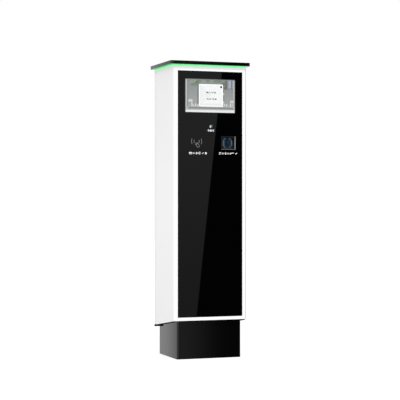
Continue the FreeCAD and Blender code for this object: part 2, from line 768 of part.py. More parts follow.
def help_button_body():
    """Threaded button housing with a flange on the glass and a bore for the cap."""
    body = fused(
        [
            rod_y(BUTTON_FLANGE_RADIUS, BUTTON_X, BUTTON_Z, BUTTON_FLANGE_FRONT, FRONT),
            rod_y(BUTTON_BARREL_RADIUS, BUTTON_X, BUTTON_Z, FRONT, BUTTON_BARREL_BACK),
        ]
    )
    clearance = RUNNING_CLEARANCE
    bore = rod_y(BUTTON_RADIUS + clearance, BUTTON_X, BUTTON_Z, FRONT - 5, BUTTON_BORE_FLOOR)
    stem_bore = rod_y(
        BUTTON_STEM_RADIUS + clearance, BUTTON_X, BUTTON_Z, BUTTON_BORE_FLOOR - 1, 0
    )
    return body.cut([bore, stem_bore])


def help_button_cap():
    """Domed lit cap with its plunger stem."""
    skirt = rod_y(BUTTON_RADIUS, BUTTON_X, BUTTON_Z, BUTTON_TIP, BUTTON_SKIRT_BACK)
    ball_centre = Vector(BUTTON_X, BUTTON_TIP + BUTTON_DOME_RADIUS, BUTTON_Z)
    ball = Part.makeSphere(BUTTON_DOME_RADIUS, ball_centre)
    behind = rod_y(BUTTON_RADIUS, BUTTON_X, BUTTON_Z, FRONT, BUTTON_SKIRT_BACK)
    stem_back = BUTTON_BARREL_BACK - BUTTON_TRAVEL - 0.2
    stem = rod_y(BUTTON_STEM_RADIUS, BUTTON_X, BUTTON_Z, BUTTON_SKIRT_BACK, stem_back)
    return fused([skirt.common(ball), behind, stem])


def help_button_nut():
    """Nut that clamps the button body on the glass."""
    nut = aimed(hex_bar(20, 4), (BUTTON_X, GLASS_BACK, BUTTON_Z), (0, 1, 0))
    return nut.cut(rod_y(BUTTON_BARREL_RADIUS + 0.05, BUTTON_X, BUTTON_Z, GLASS_BACK - 1, 0))


def help_switch():
    """Contact block behind the help button, with two terminals."""
    block = block_at(BUTTON_X, BUTTON_Z, 18, 15, BUTTON_BARREL_BACK + FIT_GAP, SWITCH_BACK)
    tabs = [
        block_at(BUTTON_X + dx, BUTTON_Z, 0.8, 5, SWITCH_BACK, SWITCH_BACK + 7) for dx in (-4, 4)
    ]
    return fused([block] + tabs)


def microphone():
    """Intercom microphone capsule behind its pin-hole in the glass."""
    front = GLASS_BACK + FIT_GAP
    return rod_y(MICROPHONE_RADIUS, BUTTON_X, MICROPHONE_Z, front, GLASS_BACK + 6)


def speaker_frame():
    """Loudspeaker basket and magnet on the inside of the right-hand wall."""
    profile = [
        (0.0, 25.0),
        (0.0, 33.0),
        (3.0, 33.0),
        (3.0, 27.5),
        (14.0, 19.0),
        (14.0, 18.0),
        (24.0, 18.0),
        (24.0, 0.0),
        (13.0, 0.0),
        (13.0, 17.0),
        (2.0, 25.0),
    ]
    return revolved(profile, (INNER_HALF, SPEAKER_Y, SPEAKER_Z), (-1, 0, 0))


def speaker_cone():
    """Paper cone inside the loudspeaker basket."""
    profile = [(1.0, 24.6), (2.0, 24.2), (9.0, 8.0), (7.5, 0.0), (6.8, 0.0), (8.0, 8.2)]
    return revolved(profile, (INNER_HALF, SPEAKER_Y, SPEAKER_Z), (-1, 0, 0))


# ---- equipment inside -----------------------------------------------------------------------

PLATE_FRONT = -50.0
PLATE_BACK = PLATE_FRONT + SHEET
PLATE_HALF = 125.0
PLATE_FOLD = 10.0
PLATE_BOTTOM = 300.0
PLATE_TOP = 810.0
RAIL_FRONT = -70.0
RAIL_HEIGHTS = (345.0, 775.0)
RAIL_WIDTH = 30.0
DIN_Z = 430.0
DIN_HALF_LENGTH = 112.0
DIN_DEPTH = 7.5
DIN_WIDTH = 35.0
DIN_THROAT = 27.0
DIN_SHEET = 1.0
SUPPLY_LEFT = -112.0
SUPPLY_WIDTH = 100.0
SUPPLY_DEPTH = 38.0
SUPPLY_BOTTOM = 620.0
SUPPLY_TOP = 790.0
SUPPLY_STRIP_BOTTOM = 606.0
SUPPLY_VENT_PITCH = 12.0
CONTROLLER_LEFT = 10.0
CONTROLLER_RIGHT = 115.0
CONTROLLER_BOTTOM = 600.0
CONTROLLER_TOP = 780.0
CONTROLLER_DEPTH = 34.0
FIN_PITCH = 8.0
FIN_THICK = 3.0
FIN_DEPTH = 14.0
SOCKET_PITCH = 24.0
SOCKET_BOTTOM = 590.0
SOCKET_Y = PLATE_BACK + 12.0
BREAKER_X = -72.0
BREAKER_FACE = 22.0
TOGGLE_Y = 13.0
TOGGLE_Z = DIN_Z + 2.0
TOGGLE_TILT = 40.0
TOGGLE_HALF = 8.0
TOGGLE_HUB = 6.0
TOGGLE_REACH = 20.0
TOGGLE_THICK = 5.0
TOGGLE_PIN = 1.5
TERMINAL_COUNT = 9
TERMINAL_PITCH = 6.5
TERMINAL_LEFT = -40.0


def equipment_rails():
    """Two channel rails across the cabinet, welded to its sides."""
    rails = []
    for z in RAIL_HEIGHTS:
        outer = block_at(0, z, 2 * INNER_HALF, RAIL_WIDTH, RAIL_FRONT, PLATE_FRONT)
        hollow_width = RAIL_WIDTH - 2 * SHEET
        hollow = block_at(0, z, 2 * FAR, hollow_width, RAIL_FRONT - 1, PLATE_FRONT - SHEET)
        rails.append(outer.cut(hollow))
    return group(rails)


def equipment_plate():
    """Folded steel plate that carries the power and control equipment."""
    web = box(-PLATE_HALF, PLATE_HALF, PLATE_FRONT, PLATE_BACK, PLATE_BOTTOM, PLATE_TOP)
    fold_end = PLATE_FRONT + PLATE_FOLD
    folds = [
        box(x, x + SHEET, PLATE_FRONT, fold_end, PLATE_BOTTOM, PLATE_TOP)
        for x in (-PLATE_HALF, PLATE_HALF - SHEET)
    ]
    return fused([web] + folds)


def din_rail():
    """Top-hat mounting rail."""
    length = 2 * DIN_HALF_LENGTH
    face = PLATE_BACK + DIN_DEPTH
    outer = block_at(0, DIN_Z, length, DIN_THROAT, PLATE_BACK, face)
    lips = block_at(0, DIN_Z, length, DIN_WIDTH, face - DIN_SHEET, face)
    inside = DIN_THROAT - 2 * DIN_SHEET
    hollow = block_at(0, DIN_Z, length + 2, inside, PLATE_BACK + DIN_SHEET, face + 1)
    return fused([outer, lips]).cut(hollow)


def power_supply():
    """Vented power supply with a terminal strip along its lower end."""
    middle = SUPPLY_LEFT + SUPPLY_WIDTH / 2
    face = PLATE_BACK + SUPPLY_DEPTH
    right = SUPPLY_LEFT + SUPPLY_WIDTH
    case = box(SUPPLY_LEFT, right, PLATE_BACK, face, SUPPLY_BOTTOM, SUPPLY_TOP)
    vents = [
        block_at(
            middle + column * SUPPLY_VENT_PITCH,
            SUPPLY_BOTTOM + 43 + row * SUPPLY_VENT_PITCH,
            7,
            6,
            face - 4,
            face + 10,
        )
        for column in range(-3, 4)
        for row in range(9)
    ]
    strip = box(
        SUPPLY_LEFT + 8, right - 8, PLATE_BACK + 4, PLATE_BACK + 22, SUPPLY_STRIP_BOTTOM, SUPPLY_BOTTOM
    )
    return fused([case.cut(vents), strip])


def socket_x(k):
    """Middle of one of the controller's sockets."""
    return CONTROLLER_LEFT + 16 + SOCKET_PITCH * k


def controller():
    """Finned controller with a connector row on its lower end."""
    face = PLATE_BACK + CONTROLLER_DEPTH
    bottom = CONTROLLER_BOTTOM
    case = box(CONTROLLER_LEFT, CONTROLLER_RIGHT, PLATE_BACK, face, bottom, CONTROLLER_TOP)
    fins = []
    for k in range(12):
        x = CONTROLLER_LEFT + 6 + FIN_PITCH * k
        fins.append(box(x, x + FIN_THICK, face, face + FIN_DEPTH, bottom + 6, CONTROLLER_TOP - 6))
    sockets = [
        box(x - 8, x + 8, SOCKET_Y - 6, SOCKET_Y + 6, SOCKET_BOTTOM, bottom)
        for x in (socket_x(k) for k in range(4))
    ]
    return fused([case] + fins + sockets)


def circuit_breaker():
    """Two-pole breaker clipped on the rail, with a slot for its toggle."""
    rail_face = PLATE_BACK + DIN_DEPTH + FIT_GAP
    body = block_at(BREAKER_X, DIN_Z, 36, 86, rail_face, 4)
    nose = block_at(BREAKER_X, DIN_Z, 36, 44, 4, BREAKER_FACE)
    x0 = BREAKER_X - TOGGLE_HALF - 1
    x1 = BREAKER_X + TOGGLE_HALF + 1
    cavity = rod(TOGGLE_HUB + 2.5, (x0, TOGGLE_Y, TOGGLE_Z), (x1, TOGGLE_Y, TOGGLE_Z))
    mouth = box(x0, x1, TOGGLE_Y, BREAKER_FACE + 1, TOGGLE_Z - 14, TOGGLE_Z + 14)
    pivot = rod(TOGGLE_PIN, (x0, TOGGLE_Y, TOGGLE_Z), (x1, TOGGLE_Y, TOGGLE_Z))
    return fused([fused([body, nose]).cut([cavity, mouth]), pivot])


def breaker_toggle():
    """Toggle lever, stored up in the on position."""
    x0 = BREAKER_X - TOGGLE_HALF
    x1 = BREAKER_X + TOGGLE_HALF
    hub = rod(TOGGLE_HUB, (x0, TOGGLE_Y, TOGGLE_Z), (x1, TOGGLE_Y, TOGGLE_Z))
    lever_end = TOGGLE_Y + TOGGLE_REACH
    lever = block_at(BREAKER_X, TOGGLE_Z, 2 * TOGGLE_HALF, TOGGLE_THICK, TOGGLE_Y, lever_end)
    lever.rotate(Vector(0, TOGGLE_Y, TOGGLE_Z), Vector(1, 0, 0), TOGGLE_TILT)
    bore_radius = TOGGLE_PIN + RUNNING_CLEARANCE
    bore = rod(bore_radius, (x0 - 1, TOGGLE_Y, TOGGLE_Z), (x1 + 1, TOGGLE_Y, TOGGLE_Z))
    return fused([hub, lever]).cut(bore)


def terminal_blocks():
    """Row of separate terminal blocks on the rail."""
    rail_face = PLATE_BACK + DIN_DEPTH + FIT_GAP
    blocks = []
    for k in range(TERMINAL_COUNT):
        x = TERMINAL_LEFT + TERMINAL_PITCH * (k + 0.5)
        foot = block_at(x, DIN_Z, TERMINAL_PITCH - 0.3, 44, rail_face, rail_face + 24)
        middle = block_at(x, DIN_Z, TERMINAL_PITCH - 0.3, 20, rail_face, rail_face + 34)
        blocks.append(fused([foot, middle]))
    return group(blocks)


def cable(points, radius, bend):
    """A round cable along straight runs joined by arcs of one bend radius."""
    corners = [Vector(*p) for p in points]
    edges = []
    start = corners[0]
    for before, corner, after in zip(corners, corners[1:], corners[2:]):
        into = (corner - before).normalize()
        out = (after - corner).normalize()
        turn = into.getAngle(out)
        reach = bend * math.tan(turn / 2)
        arc_start = corner - into * reach
        arc_end = corner + out * reach
        inward = (out - into).normalize()
        centre = corner + inward * (bend / math.cos(turn / 2))
        arc_middle = centre - inward * bend
        edges.append(Part.makeLine(start, arc_start))
        edges.append(Part.Arc(arc_start, arc_middle, arc_end).toShape())
        start = arc_end
    edges.append(Part.makeLine(start, corners[-1]))
    first_run = corners[1] - corners[0]
    circle = Part.Wire(Part.makeCircle(radius, corners[0], first_run))
    return Part.Wire(edges).makePipeShell([circle], True, False)


def wiring_loom():
    """Internal cables between the equipment, the display, the reader, the scanner and the roof."""
    supply_foot = SUPPLY_STRIP_BOTTOM - 0.5
    socket_foot = SOCKET_BOTTOM - 0.5
    display_y = CARRIER_BACK + BOARD_STANDOFF + BOARD_THICK + 3.5
    reader_y = READER_SOCKET_BACK + FIT_GAP
    right = PLATE_HALF + 1.0
    left = -PLATE_HALF - 9.0
    outer_right = right + 8.0
    outer_left = left - 8.0
    scanner_y = SCANNER_BODY_BACK + 11.0
    under_roof = ROOF_BOTTOM - 10.8
    breaker_to_supply = [
        (BREAKER_X, -20, DIN_Z + 43.5),
        (BREAKER_X, -20, 540),
        (-62, -29, 575),
        (-62, -29, supply_foot),
    ]
    supply_to_terminals = [
        (-30, -29, supply_foot),
        (-30, -29, 560),
        (-14, -22, 520),
        (-14, -22, DIN_Z + 23),
    ]
    controller_to_display = [
        (socket_x(1), SOCKET_Y, socket_foot),
        (socket_x(1), SOCKET_Y, 556),
        (right, SOCKET_Y, 556),
        (right, SOCKET_Y, 990),
        (right, display_y, DISPLAY_SOCKET_Z),
        (DISPLAY_SOCKET_X + 0.4, display_y, DISPLAY_SOCKET_Z),
    ]
    controller_to_reader = [
        (socket_x(0), SOCKET_Y, socket_foot),
        (socket_x(0), SOCKET_Y, 571),
        (left, SOCKET_Y, 571),
        (left, SOCKET_Y, 815),
        (left, -96, READER_SOCKET_Z),
        (READER_X, -96, READER_SOCKET_Z),
        (READER_X, reader_y, READER_SOCKET_Z),
    ]
    controller_to_scanner = [
        (socket_x(2), SOCKET_Y, socket_foot),
        (socket_x(2), SOCKET_Y, 575),
        (outer_right, -24, 575),
        (outer_right, -24, 840),
        (outer_right, scanner_y, SCANNER_Z),
        (SCANNER_X, scanner_y, SCANNER_Z),
        (SCANNER_X, SCANNER_BODY_BACK + FIT_GAP, SCANNER_Z),
    ]
    supply_to_roof = [
        (-90, -30, SUPPLY_TOP + FIT_GAP),
        (-90, -30, SUPPLY_TOP + 13),
        (outer_left, -26, SUPPLY_TOP + 13),
        (outer_left, -26, under_roof),
        (ROOF_CABLE_X, ROOF_CABLE_Y, under_roof),
        (ROOF_CABLE_X, ROOF_CABLE_Y, LIGHT_BOTTOM + 0.3),
    ]
    return group(
        [
            cable(breaker_to_supply, 3.5, 14),
            cable(supply_to_terminals, 2.5, 12),
            cable(controller_to_display, 3.0, 14),
            cable(controller_to_reader, 2.5, 12),
            cable(controller_to_scanner, 2.0, 9),
            cable(supply_to_roof, 2.5, 10),
        ]
    )


# ---- roof, light band and cap ---------------------------------------------------------------

CAP_BOLT_RADIUS = 2.95
CAP_BOLT_X = 122.0
CAP_BOLT_Y = 94.0
CAP_BOLT_LENGTH = 14.0
CAP_BOLT_FLATS = 10.0
CAP_BOLT_HEAD = 4.0
CAP_POST_RADIUS = 5.0
CAP_MOUTH_X = 270.0
CAP_MOUTH_Y = 214.0
ROOF_CABLE_RADIUS = 6.0
LED_CLEARANCE = 0.6
DIFFUSER_WALL = 8.0
CARRIER_RING_X = 284.0
CARRIER_RING_Y = 228.0


def cap_bolt_places():
    """Where the four bolts hold the cap on the roof."""
    return [(x, y) for x in (-CAP_BOLT_X, CAP_BOLT_X) for y in (-CAP_BOLT_Y, CAP_BOLT_Y)]


def roof_plate():
    """Flat plate that closes the top of the body."""
    plate = body_block(0, ROOF_BOTTOM, LIGHT_BOTTOM)
    holes = [
        rod(CAP_BOLT_RADIUS + 0.3, (x, y, ROOF_BOTTOM - 1), (x, y, LIGHT_BOTTOM + 1))
        for x, y in cap_bolt_places()
    ]
    cable_hole = rod(
        ROOF_CABLE_RADIUS,
        (ROOF_CABLE_X, ROOF_CABLE_Y, ROOF_BOTTOM - 1),
        (ROOF_CABLE_X, ROOF_CABLE_Y, LIGHT_BOTTOM + 1),
    )
    return plate.cut(holes + [cable_hole])


def light_diffuser():
    """Translucent ring, flush with the body."""
    outer = body_block(0, LIGHT_BOTTOM, CAP_BOTTOM)
    return outer.cut(box(
        -HALF_WIDTH + DIFFUSER_WALL,
        HALF_WIDTH - DIFFUSER_WALL,
        FRONT + DIFFUSER_WALL,
        REAR - DIFFUSER_WALL,
        LIGHT_BOTTOM - 1,
        CAP_BOTTOM + 1,
    ))


def light_carrier():
    """Aluminium ring behind the diffuser that the LED strips are stuck on."""
    outer = rounded_block(CARRIER_RING_X, CARRIER_RING_Y, LIGHT_BOTTOM, CAP_BOTTOM, 4)
    inner_x = CARRIER_RING_X - 2 * SHEET
    inner_y = CARRIER_RING_Y - 2 * SHEET
    inner = rounded_block(inner_x, inner_y, 0, OVERALL_HEIGHT, 2)
    return outer.cut(inner)


def led_strip(length, count):
    """One LED strip along X from the origin, its lamps facing +Z."""
    width = LIGHT_HEIGHT - 2 * LED_CLEARANCE
    strip = Part.makeBox(length, width, 1.0, Vector(-length / 2, -width / 2, 0))
    pitch = length / count
    lamps = [
        Part.makeBox(5, 5, 1.6, Vector(-length / 2 + pitch * (k + 0.5) - 2.5, -2.5, 1.0))
        for k in range(count)
    ]
    return fused([strip] + lamps)


def led_strips():
    """Four LED strips, one on each side of the carrier ring."""
    z = (LIGHT_BOTTOM + CAP_BOTTOM) / 2
    long_strip = led_strip(264, 16)
    short_strip = led_strip(208, 12)
    strips = []
    for turn, strip, reach in (
        (0, long_strip, CARRIER_RING_Y / 2),
        (90, short_strip, CARRIER_RING_X / 2),
        (180, long_strip, CARRIER_RING_Y / 2),
        (270, short_strip, CARRIER_RING_X / 2),
    ):
        side = strip.copy()
        side.rotate(Vector(0, 0, 0), Vector(1, 0, 0), 90)
        side.translate(Vector(0, -reach, z))
        side.rotate(Vector(0, 0, 0), Vector(0, 0, 1), turn)
        strips.append(side)
    return group(strips)


def top_cap():
    """Black folded lid with a downturned edge, an inward flange and four threaded posts."""
    width = BODY_WIDTH + 2 * CAP_OVERHANG_SIDE
    depth = BODY_DEPTH + 2 * CAP_OVERHANG
    outer = rounded_block(width, depth, CAP_BOTTOM, OVERALL_HEIGHT, CAP_CORNER)
    inner = rounded_block(
        width - 2 * SHEET,
        depth - 2 * SHEET,
        CAP_BOTTOM + SHEET,
        OVERALL_HEIGHT - SHEET,
        CAP_CORNER - SHEET,
    )
    mouth_top = OVERALL_HEIGHT - SHEET
    mouth = rounded_block(CAP_MOUTH_X, CAP_MOUTH_Y, CAP_BOTTOM - 1, mouth_top, 4)
    posts = [
        rod(CAP_POST_RADIUS, (x, y, LIGHT_BOTTOM), (x, y, mouth_top)) for x, y in cap_bolt_places()
    ]
    threads = [
        rod(CAP_BOLT_RADIUS + RUNNING_CLEARANCE, (x, y, LIGHT_BOTTOM - 1), (x, y, CAP_BOTTOM + 4))
        for x, y in cap_bolt_places()
    ]
    return fused([outer.cut([inner, mouth])] + posts).cut(threads)


def cap_bolts():
    """Four bolts from inside the cabinet up into the cap's posts."""
    bolt = screw(CAP_BOLT_RADIUS, CAP_BOLT_LENGTH, hex_bar(CAP_BOLT_FLATS, CAP_BOLT_HEAD))
    return group(aimed(bolt, (x, y, ROOF_BOTTOM), (0, 0, -1)) for x, y in cap_bolt_places())


# ---- rear door ------------------------------------------------------------------------------

FAN_SLOTS = 6
FAN_SLOT_PITCH = 11.0
FAN_SLOT_LENGTH = 64.0
INTAKE_SLOTS = 6
INTAKE_SLOT_PITCH = 14.0
INTAKE_SLOT_LENGTH = 150.0
SLOT_HEIGHT = 5.0
HOOD_REACH = 4.5
FAN_SCREW_REACH = 35.75
FAN_GUARD_WIRE = 2.0
FAN_GUARD_RINGS = (10.0, 19.0, 28.0, 37.0)
FAN_SCREW_HOLE = 2.2
FAN_HUB_RADIUS = 15.0
FAN_MOUNT_RADIUS = 16.0
FAN_MOUNT_THICK = 3.0
FAN_AXLE_RADIUS = 1.5
FAN_BLADE_PITCH = 38.0
STIFFENER_WALL = 1.5
DOOR_SEAL_INSET = 3.0
DOOR_SEAL_WIDTH = 7.0
HINGE_LEAF_FRONT = 84.0
LOCK_BARREL_RADIUS = 9.5
LOCK_FLANGE_RADIUS = 12.5
LOCK_BARREL_FRONT = 104.5
LOCK_PLUG_RADIUS = 6.0
LOCK_PLUG_FRONT = 104.2
LOCK_SQUARE = 7.6
CAM_FRONT = 100.2
CAM_BACK = 103.2
CAM_HUB_RADIUS = 9.0
CAM_WIDTH = 14.0
CAM_LENGTH = 28.0


def louvre(z, length):
    """A hood pressed out of the door above one slot: sloping blade with two cheeks."""
    top = z + SLOT_HEIGHT / 2
    bottom = z - SLOT_HEIGHT / 2
    wedge = [(REAR - 0.5, top + 1.5), (REAR - 0.5, bottom), (REAR + HOOD_REACH, bottom)]
    under = [(REAR - 1, top), (REAR - 1, bottom - 1), (REAR + HOOD_REACH - 1, bottom - 1)]
    hood = extruded_x(wedge, -length / 2 - 1.5, length / 2 + 1.5)
    return hood.cut(extruded_x(under, -length / 2, length / 2))


def louvre_rows():
    """Height and length of every slot in the door."""
    fan_rows = [
        (FAN_Z + (k - (FAN_SLOTS - 1) / 2) * FAN_SLOT_PITCH, FAN_SLOT_LENGTH)
        for k in range(FAN_SLOTS)
    ]
    intake_rows = [
        (INTAKE_Z + (k - (INTAKE_SLOTS - 1) / 2) * INTAKE_SLOT_PITCH, INTAKE_SLOT_LENGTH)
        for k in range(INTAKE_SLOTS)
    ]
    return fan_rows + intake_rows


def fan_screw_places():
    """Where the fan's four screws pass through the door."""
    return [
        (side_x * FAN_SCREW_REACH, FAN_Z + side_z * FAN_SCREW_REACH)
        for side_x in (-1, 1)
        for side_z in (-1, 1)
    ]


def door_panel():
    """White folded pan with hooded slots, lock holes and fan screw holes."""
    outer = body_block(0, 0, DOOR_TOP).common(above_underside(DOOR_LIFT))
    inner = body_block(SHEET, 0, DOOR_TOP - SHEET).common(above_underside(DOOR_LIFT + FLOOR_LIFT))
    door_side = box(-FAR, FAR, DOOR_EDGE, FAR, 0, OVERALL_HEIGHT)
    pan = outer.common(door_side).cut(inner)
    rows = louvre_rows()
    slots = [block_at(0, z, length, SLOT_HEIGHT, DOOR_INSIDE - 1, REAR + 9) for z, length in rows]
    locks = [
        rod_y(LOCK_BARREL_RADIUS + FIT_GAP, LOCK_X, z, DOOR_INSIDE - 1, REAR + 1)
        for z in LOCK_HEIGHTS.values()
    ]
    screws = [
        rod_y(FAN_SCREW_HOLE, x, z, DOOR_INSIDE - 1, REAR + 1) for x, z in fan_screw_places()
    ]
    hoods = [louvre(z, length) for z, length in rows]
    return fused([pan.cut(slots + locks + screws)] + hoods)


def door_stiffener():
    """Channel frame welded inside the door, its open side on the sheet."""
    half = DOOR_RING_HALF
    wall = STIFFENER_WALL
    ring = upright_ring(
        half, DOOR_RING_BOTTOM, DOOR_RING_TOP, DOOR_RING_WIDTH, DOOR_RING_FRONT, DOOR_INSIDE
    )
    hollow = upright_ring(
        half - wall,
        DOOR_RING_BOTTOM + wall,
        DOOR_RING_TOP - wall,
        DOOR_RING_WIDTH - 2 * wall,
        DOOR_RING_FRONT + wall,
        DOOR_INSIDE + 1,
    )
    outline = body_block(SHEET + FIT_GAP, 0, OVERALL_HEIGHT)
    return ring.cut(hollow).common(outline)


def door_seal():
    """Rubber strip on the stiffener that meets the casing's rear frame."""
    return upright_ring(
        DOOR_RING_HALF - DOOR_SEAL_INSET,
        DOOR_RING_BOTTOM + DOOR_SEAL_INSET,
        DOOR_RING_TOP - DOOR_SEAL_INSET,
        DOOR_SEAL_WIDTH,
        SEAM_Y + 0.3,
        DOOR_RING_FRONT,
    )


def hinge_bar(radius, z0, z1):
    """A bar on the door's hinge axis."""
    return rod(radius, (HINGE_X, HINGE_Y, z0), (HINGE_X, HINGE_Y, z1))


def hinge_sections(z):
    """Knuckle spans of one hinge: the casing's two outer ones and the door's middle one."""
    third = HINGE_LENGTH / 6
    gap = 0.25
    half = HINGE_LENGTH / 2
    outer = [(z - half, z - third - gap), (z + third + gap, z + half)]
    middle = [(z - third + gap, z + third - gap)]
    return outer, middle


def hinge_leaf(z, y0, y1, own, other):
    """One leaf with its own knuckles, notched around the other leaf's knuckles."""
    half = HINGE_LENGTH / 2
    plate = box(HALF_WIDTH, HALF_WIDTH + SHEET, y0, y1, z - half, z + half)
    knuckles = [hinge_bar(KNUCKLE_RADIUS, z0, z1) for z0, z1 in own]
    notches = [hinge_bar(KNUCKLE_RADIUS + 0.4, z0 - 0.5, z1 + 0.5) for z0, z1 in other]
    bore = hinge_bar(PIN_RADIUS + RUNNING_CLEARANCE, z - half - 1, z + half + 1)
    return fused([plate.cut(notches)] + knuckles).cut(bore)


def hinge_frame_leaves():
    """Three hinge leaves on the casing's right side."""
    leaves = []
    for z in HINGE_HEIGHTS:
        outer, middle = hinge_sections(z)
        leaves.append(hinge_leaf(z, HINGE_LEAF_FRONT, HINGE_Y, outer, middle))
    return group(leaves)


def hinge_door_leaves():
    """Three hinge leaves on the door's right side."""
    leaves = []
    for z in HINGE_HEIGHTS:
        outer, middle = hinge_sections(z)
        leaves.append(hinge_leaf(z, HINGE_Y, REAR - BODY_CORNER - 1, middle, outer))
    return group(leaves)


def hinge_pins():
    """Three hinge pins with a small head at the top."""
    half = HINGE_LENGTH / 2
    return group(
        fused([hinge_bar(PIN_RADIUS, z - half, z + half), hinge_bar(3.4, z + half, z + half + 1.5)])
        for z in HINGE_HEIGHTS
    )


def lock_barrels():
    """Two lock barrels through the door, each with its nut."""
    solids = []
    for z in LOCK_HEIGHTS.values():
        flange = rod_y(LOCK_FLANGE_RADIUS, LOCK_X, z, REAR, REAR + 2)
        body = rod_y(LOCK_BARREL_RADIUS, LOCK_X, z, LOCK_BARREL_FRONT, REAR)
        bore = rod_y(LOCK_PLUG_RADIUS + RUNNING_CLEARANCE, LOCK_X, z, 90, REAR + 5)
        solids.append(fused([flange, body]).cut(bore))
        nut = aimed(hex_bar(25, 4), (LOCK_X, DOOR_INSIDE - 4, z), (0, 1, 0))
        solids.append(nut.cut(rod_y(LOCK_BARREL_RADIUS + FIT_GAP, LOCK_X, z, 90, REAR)))
    return group(solids)


def lock_plug(z):
    """Turning plug of one lock, with a key slot outside and a square and screw inside."""
    square_front = CAM_FRONT - 0.6
    plug = rod_y(LOCK_PLUG_RADIUS, LOCK_X, z, LOCK_PLUG_FRONT, REAR + 1.6)
    square = block_at(LOCK_X, z, LOCK_SQUARE, LOCK_SQUARE, square_front, LOCK_PLUG_FRONT)
    screw_head = aimed(hex_bar(9, 3), (LOCK_X, square_front - 3, z), (0, 1, 0))
    slot = block_at(LOCK_X, z, 1.8, 8, REAR - 4, REAR + 3)
    return fused([plug, square, screw_head]).cut(slot)


def lock_cam(z):
    """Flat cam of one lock, stored upright, so that the door is free to open."""
    half = CAM_WIDTH / 2
    hole_width = LOCK_SQUARE + FIT_GAP
    arm = box(LOCK_X - half, LOCK_X + half, CAM_FRONT, CAM_BACK, z, z + CAM_LENGTH)
    hub = rod_y(CAM_HUB_RADIUS, LOCK_X, z, CAM_FRONT, CAM_BACK)
    hole = block_at(LOCK_X, z, hole_width, hole_width, CAM_FRONT - 1, CAM_BACK + 1)
    return fused([arm, hub]).cut(hole)


def fan_frame():
    """Square fan housing with its motor mount on four struts."""
    y0 = DOOR_INSIDE - FAN_DEPTH
    housing = rounded_panel(0, FAN_Z, FAN_SIZE, FAN_SIZE, 4, y0, DOOR_INSIDE)
    bore = rod_y(FAN_BORE, 0, FAN_Z, y0 - 1, DOOR_INSIDE + 1)
    holes = [rod_y(FAN_SCREW_HOLE, x, z, y0 - 1, DOOR_INSIDE + 1) for x, z in fan_screw_places()]
    mount_back = y0 + FAN_MOUNT_THICK
    mount = rod_y(FAN_MOUNT_RADIUS, 0, FAN_Z, y0, mount_back)
    struts = [
        block_at(0, FAN_Z, 2 * FAN_BORE + 2, 4, y0, mount_back),
        block_at(0, FAN_Z, 4, 2 * FAN_BORE + 2, y0, mount_back),
    ]
    axle_hole = rod_y(FAN_AXLE_RADIUS + RUNNING_CLEARANCE, 0, FAN_Z, y0 - 1, mount_back + 1)
    return fused([housing.cut([bore] + holes), mount] + struts).cut(axle_hole)


def fan_rotor():
    """Hub, axle and seven pitched blades."""
    y0 = DOOR_INSIDE - FAN_DEPTH
    hub_front = y0 + FAN_MOUNT_THICK + 1
    hub = rod_y(FAN_HUB_RADIUS, 0, FAN_Z, hub_front, DOOR_INSIDE - 2)
    axle = rod_y(FAN_AXLE_RADIUS, 0, FAN_Z, y0 + 0.5, hub_front)
    blades = []
    for k in range(FAN_BLADES):
        blade = box(-9, 9, -0.8, 0.8, 13, FAN_BORE - 1.5)
        blade.rotate(Vector(0, 0, 0), Vector(0, 0, 1), FAN_BLADE_PITCH)
        blade.rotate(Vector(0, 0, 0), Vector(0, 1, 0), 360 * k / FAN_BLADES)
        blade.translate(Vector(0, (y0 + DOOR_INSIDE) / 2 + 1, FAN_Z))
        blades.append(blade)
    tip_circle = rod_y(FAN_BORE - 1.2, 0, FAN_Z, hub_front, DOOR_INSIDE - 2)
    return fused([hub, axle] + [blade.common(tip_circle) for blade in blades])


def fan_guard():
    """Flat-wire guard over the inside of the fan."""
    y1 = DOOR_INSIDE - FAN_DEPTH
    y0 = y1 - FAN_GUARD_WIRE
    half_wire = FAN_GUARD_WIRE / 2
    rings = [tube_y(r + half_wire, r - half_wire, 0, FAN_Z, y0, y1) for r in FAN_GUARD_RINGS]
    arm_length = 2 * math.sqrt(2) * FAN_SCREW_REACH
    arms = []
    for turn in (45, -45):
        arm = block_at(0, FAN_Z, arm_length, FAN_GUARD_WIRE, y0, y1)
        arm.rotate(Vector(0, 0, FAN_Z), Vector(0, 1, 0), turn)
        arms.append(arm)
    eyes = [rod_y(4.5, x, z, y0, y1) for x, z in fan_screw_places()]
    holes = [rod_y(FAN_SCREW_HOLE, x, z, y0 - 1, y1 + 1) for x, z in fan_screw_places()]
    return fused(rings + arms + eyes).cut(holes)


def fan_screws():
    """Four long screws through the door, the fan and its guard, with nuts inside."""
    guard_back = DOOR_INSIDE - FAN_DEPTH - FAN_GUARD_WIRE
    solids = []
    for x, z in fan_screw_places():
        body = screw(2.0, REAR - guard_back + 4.5, pan_head(4, 2.4))
        nut = aimed(hex_bar(7, 3), (x, guard_back - 3, z), (0, 1, 0))
        solids.append(fused([aimed(body, (x, REAR, z), (0, 1, 0)), nut]))
    return group(solids)


# ---- every sub-part by name -----------------------------------------------------------------

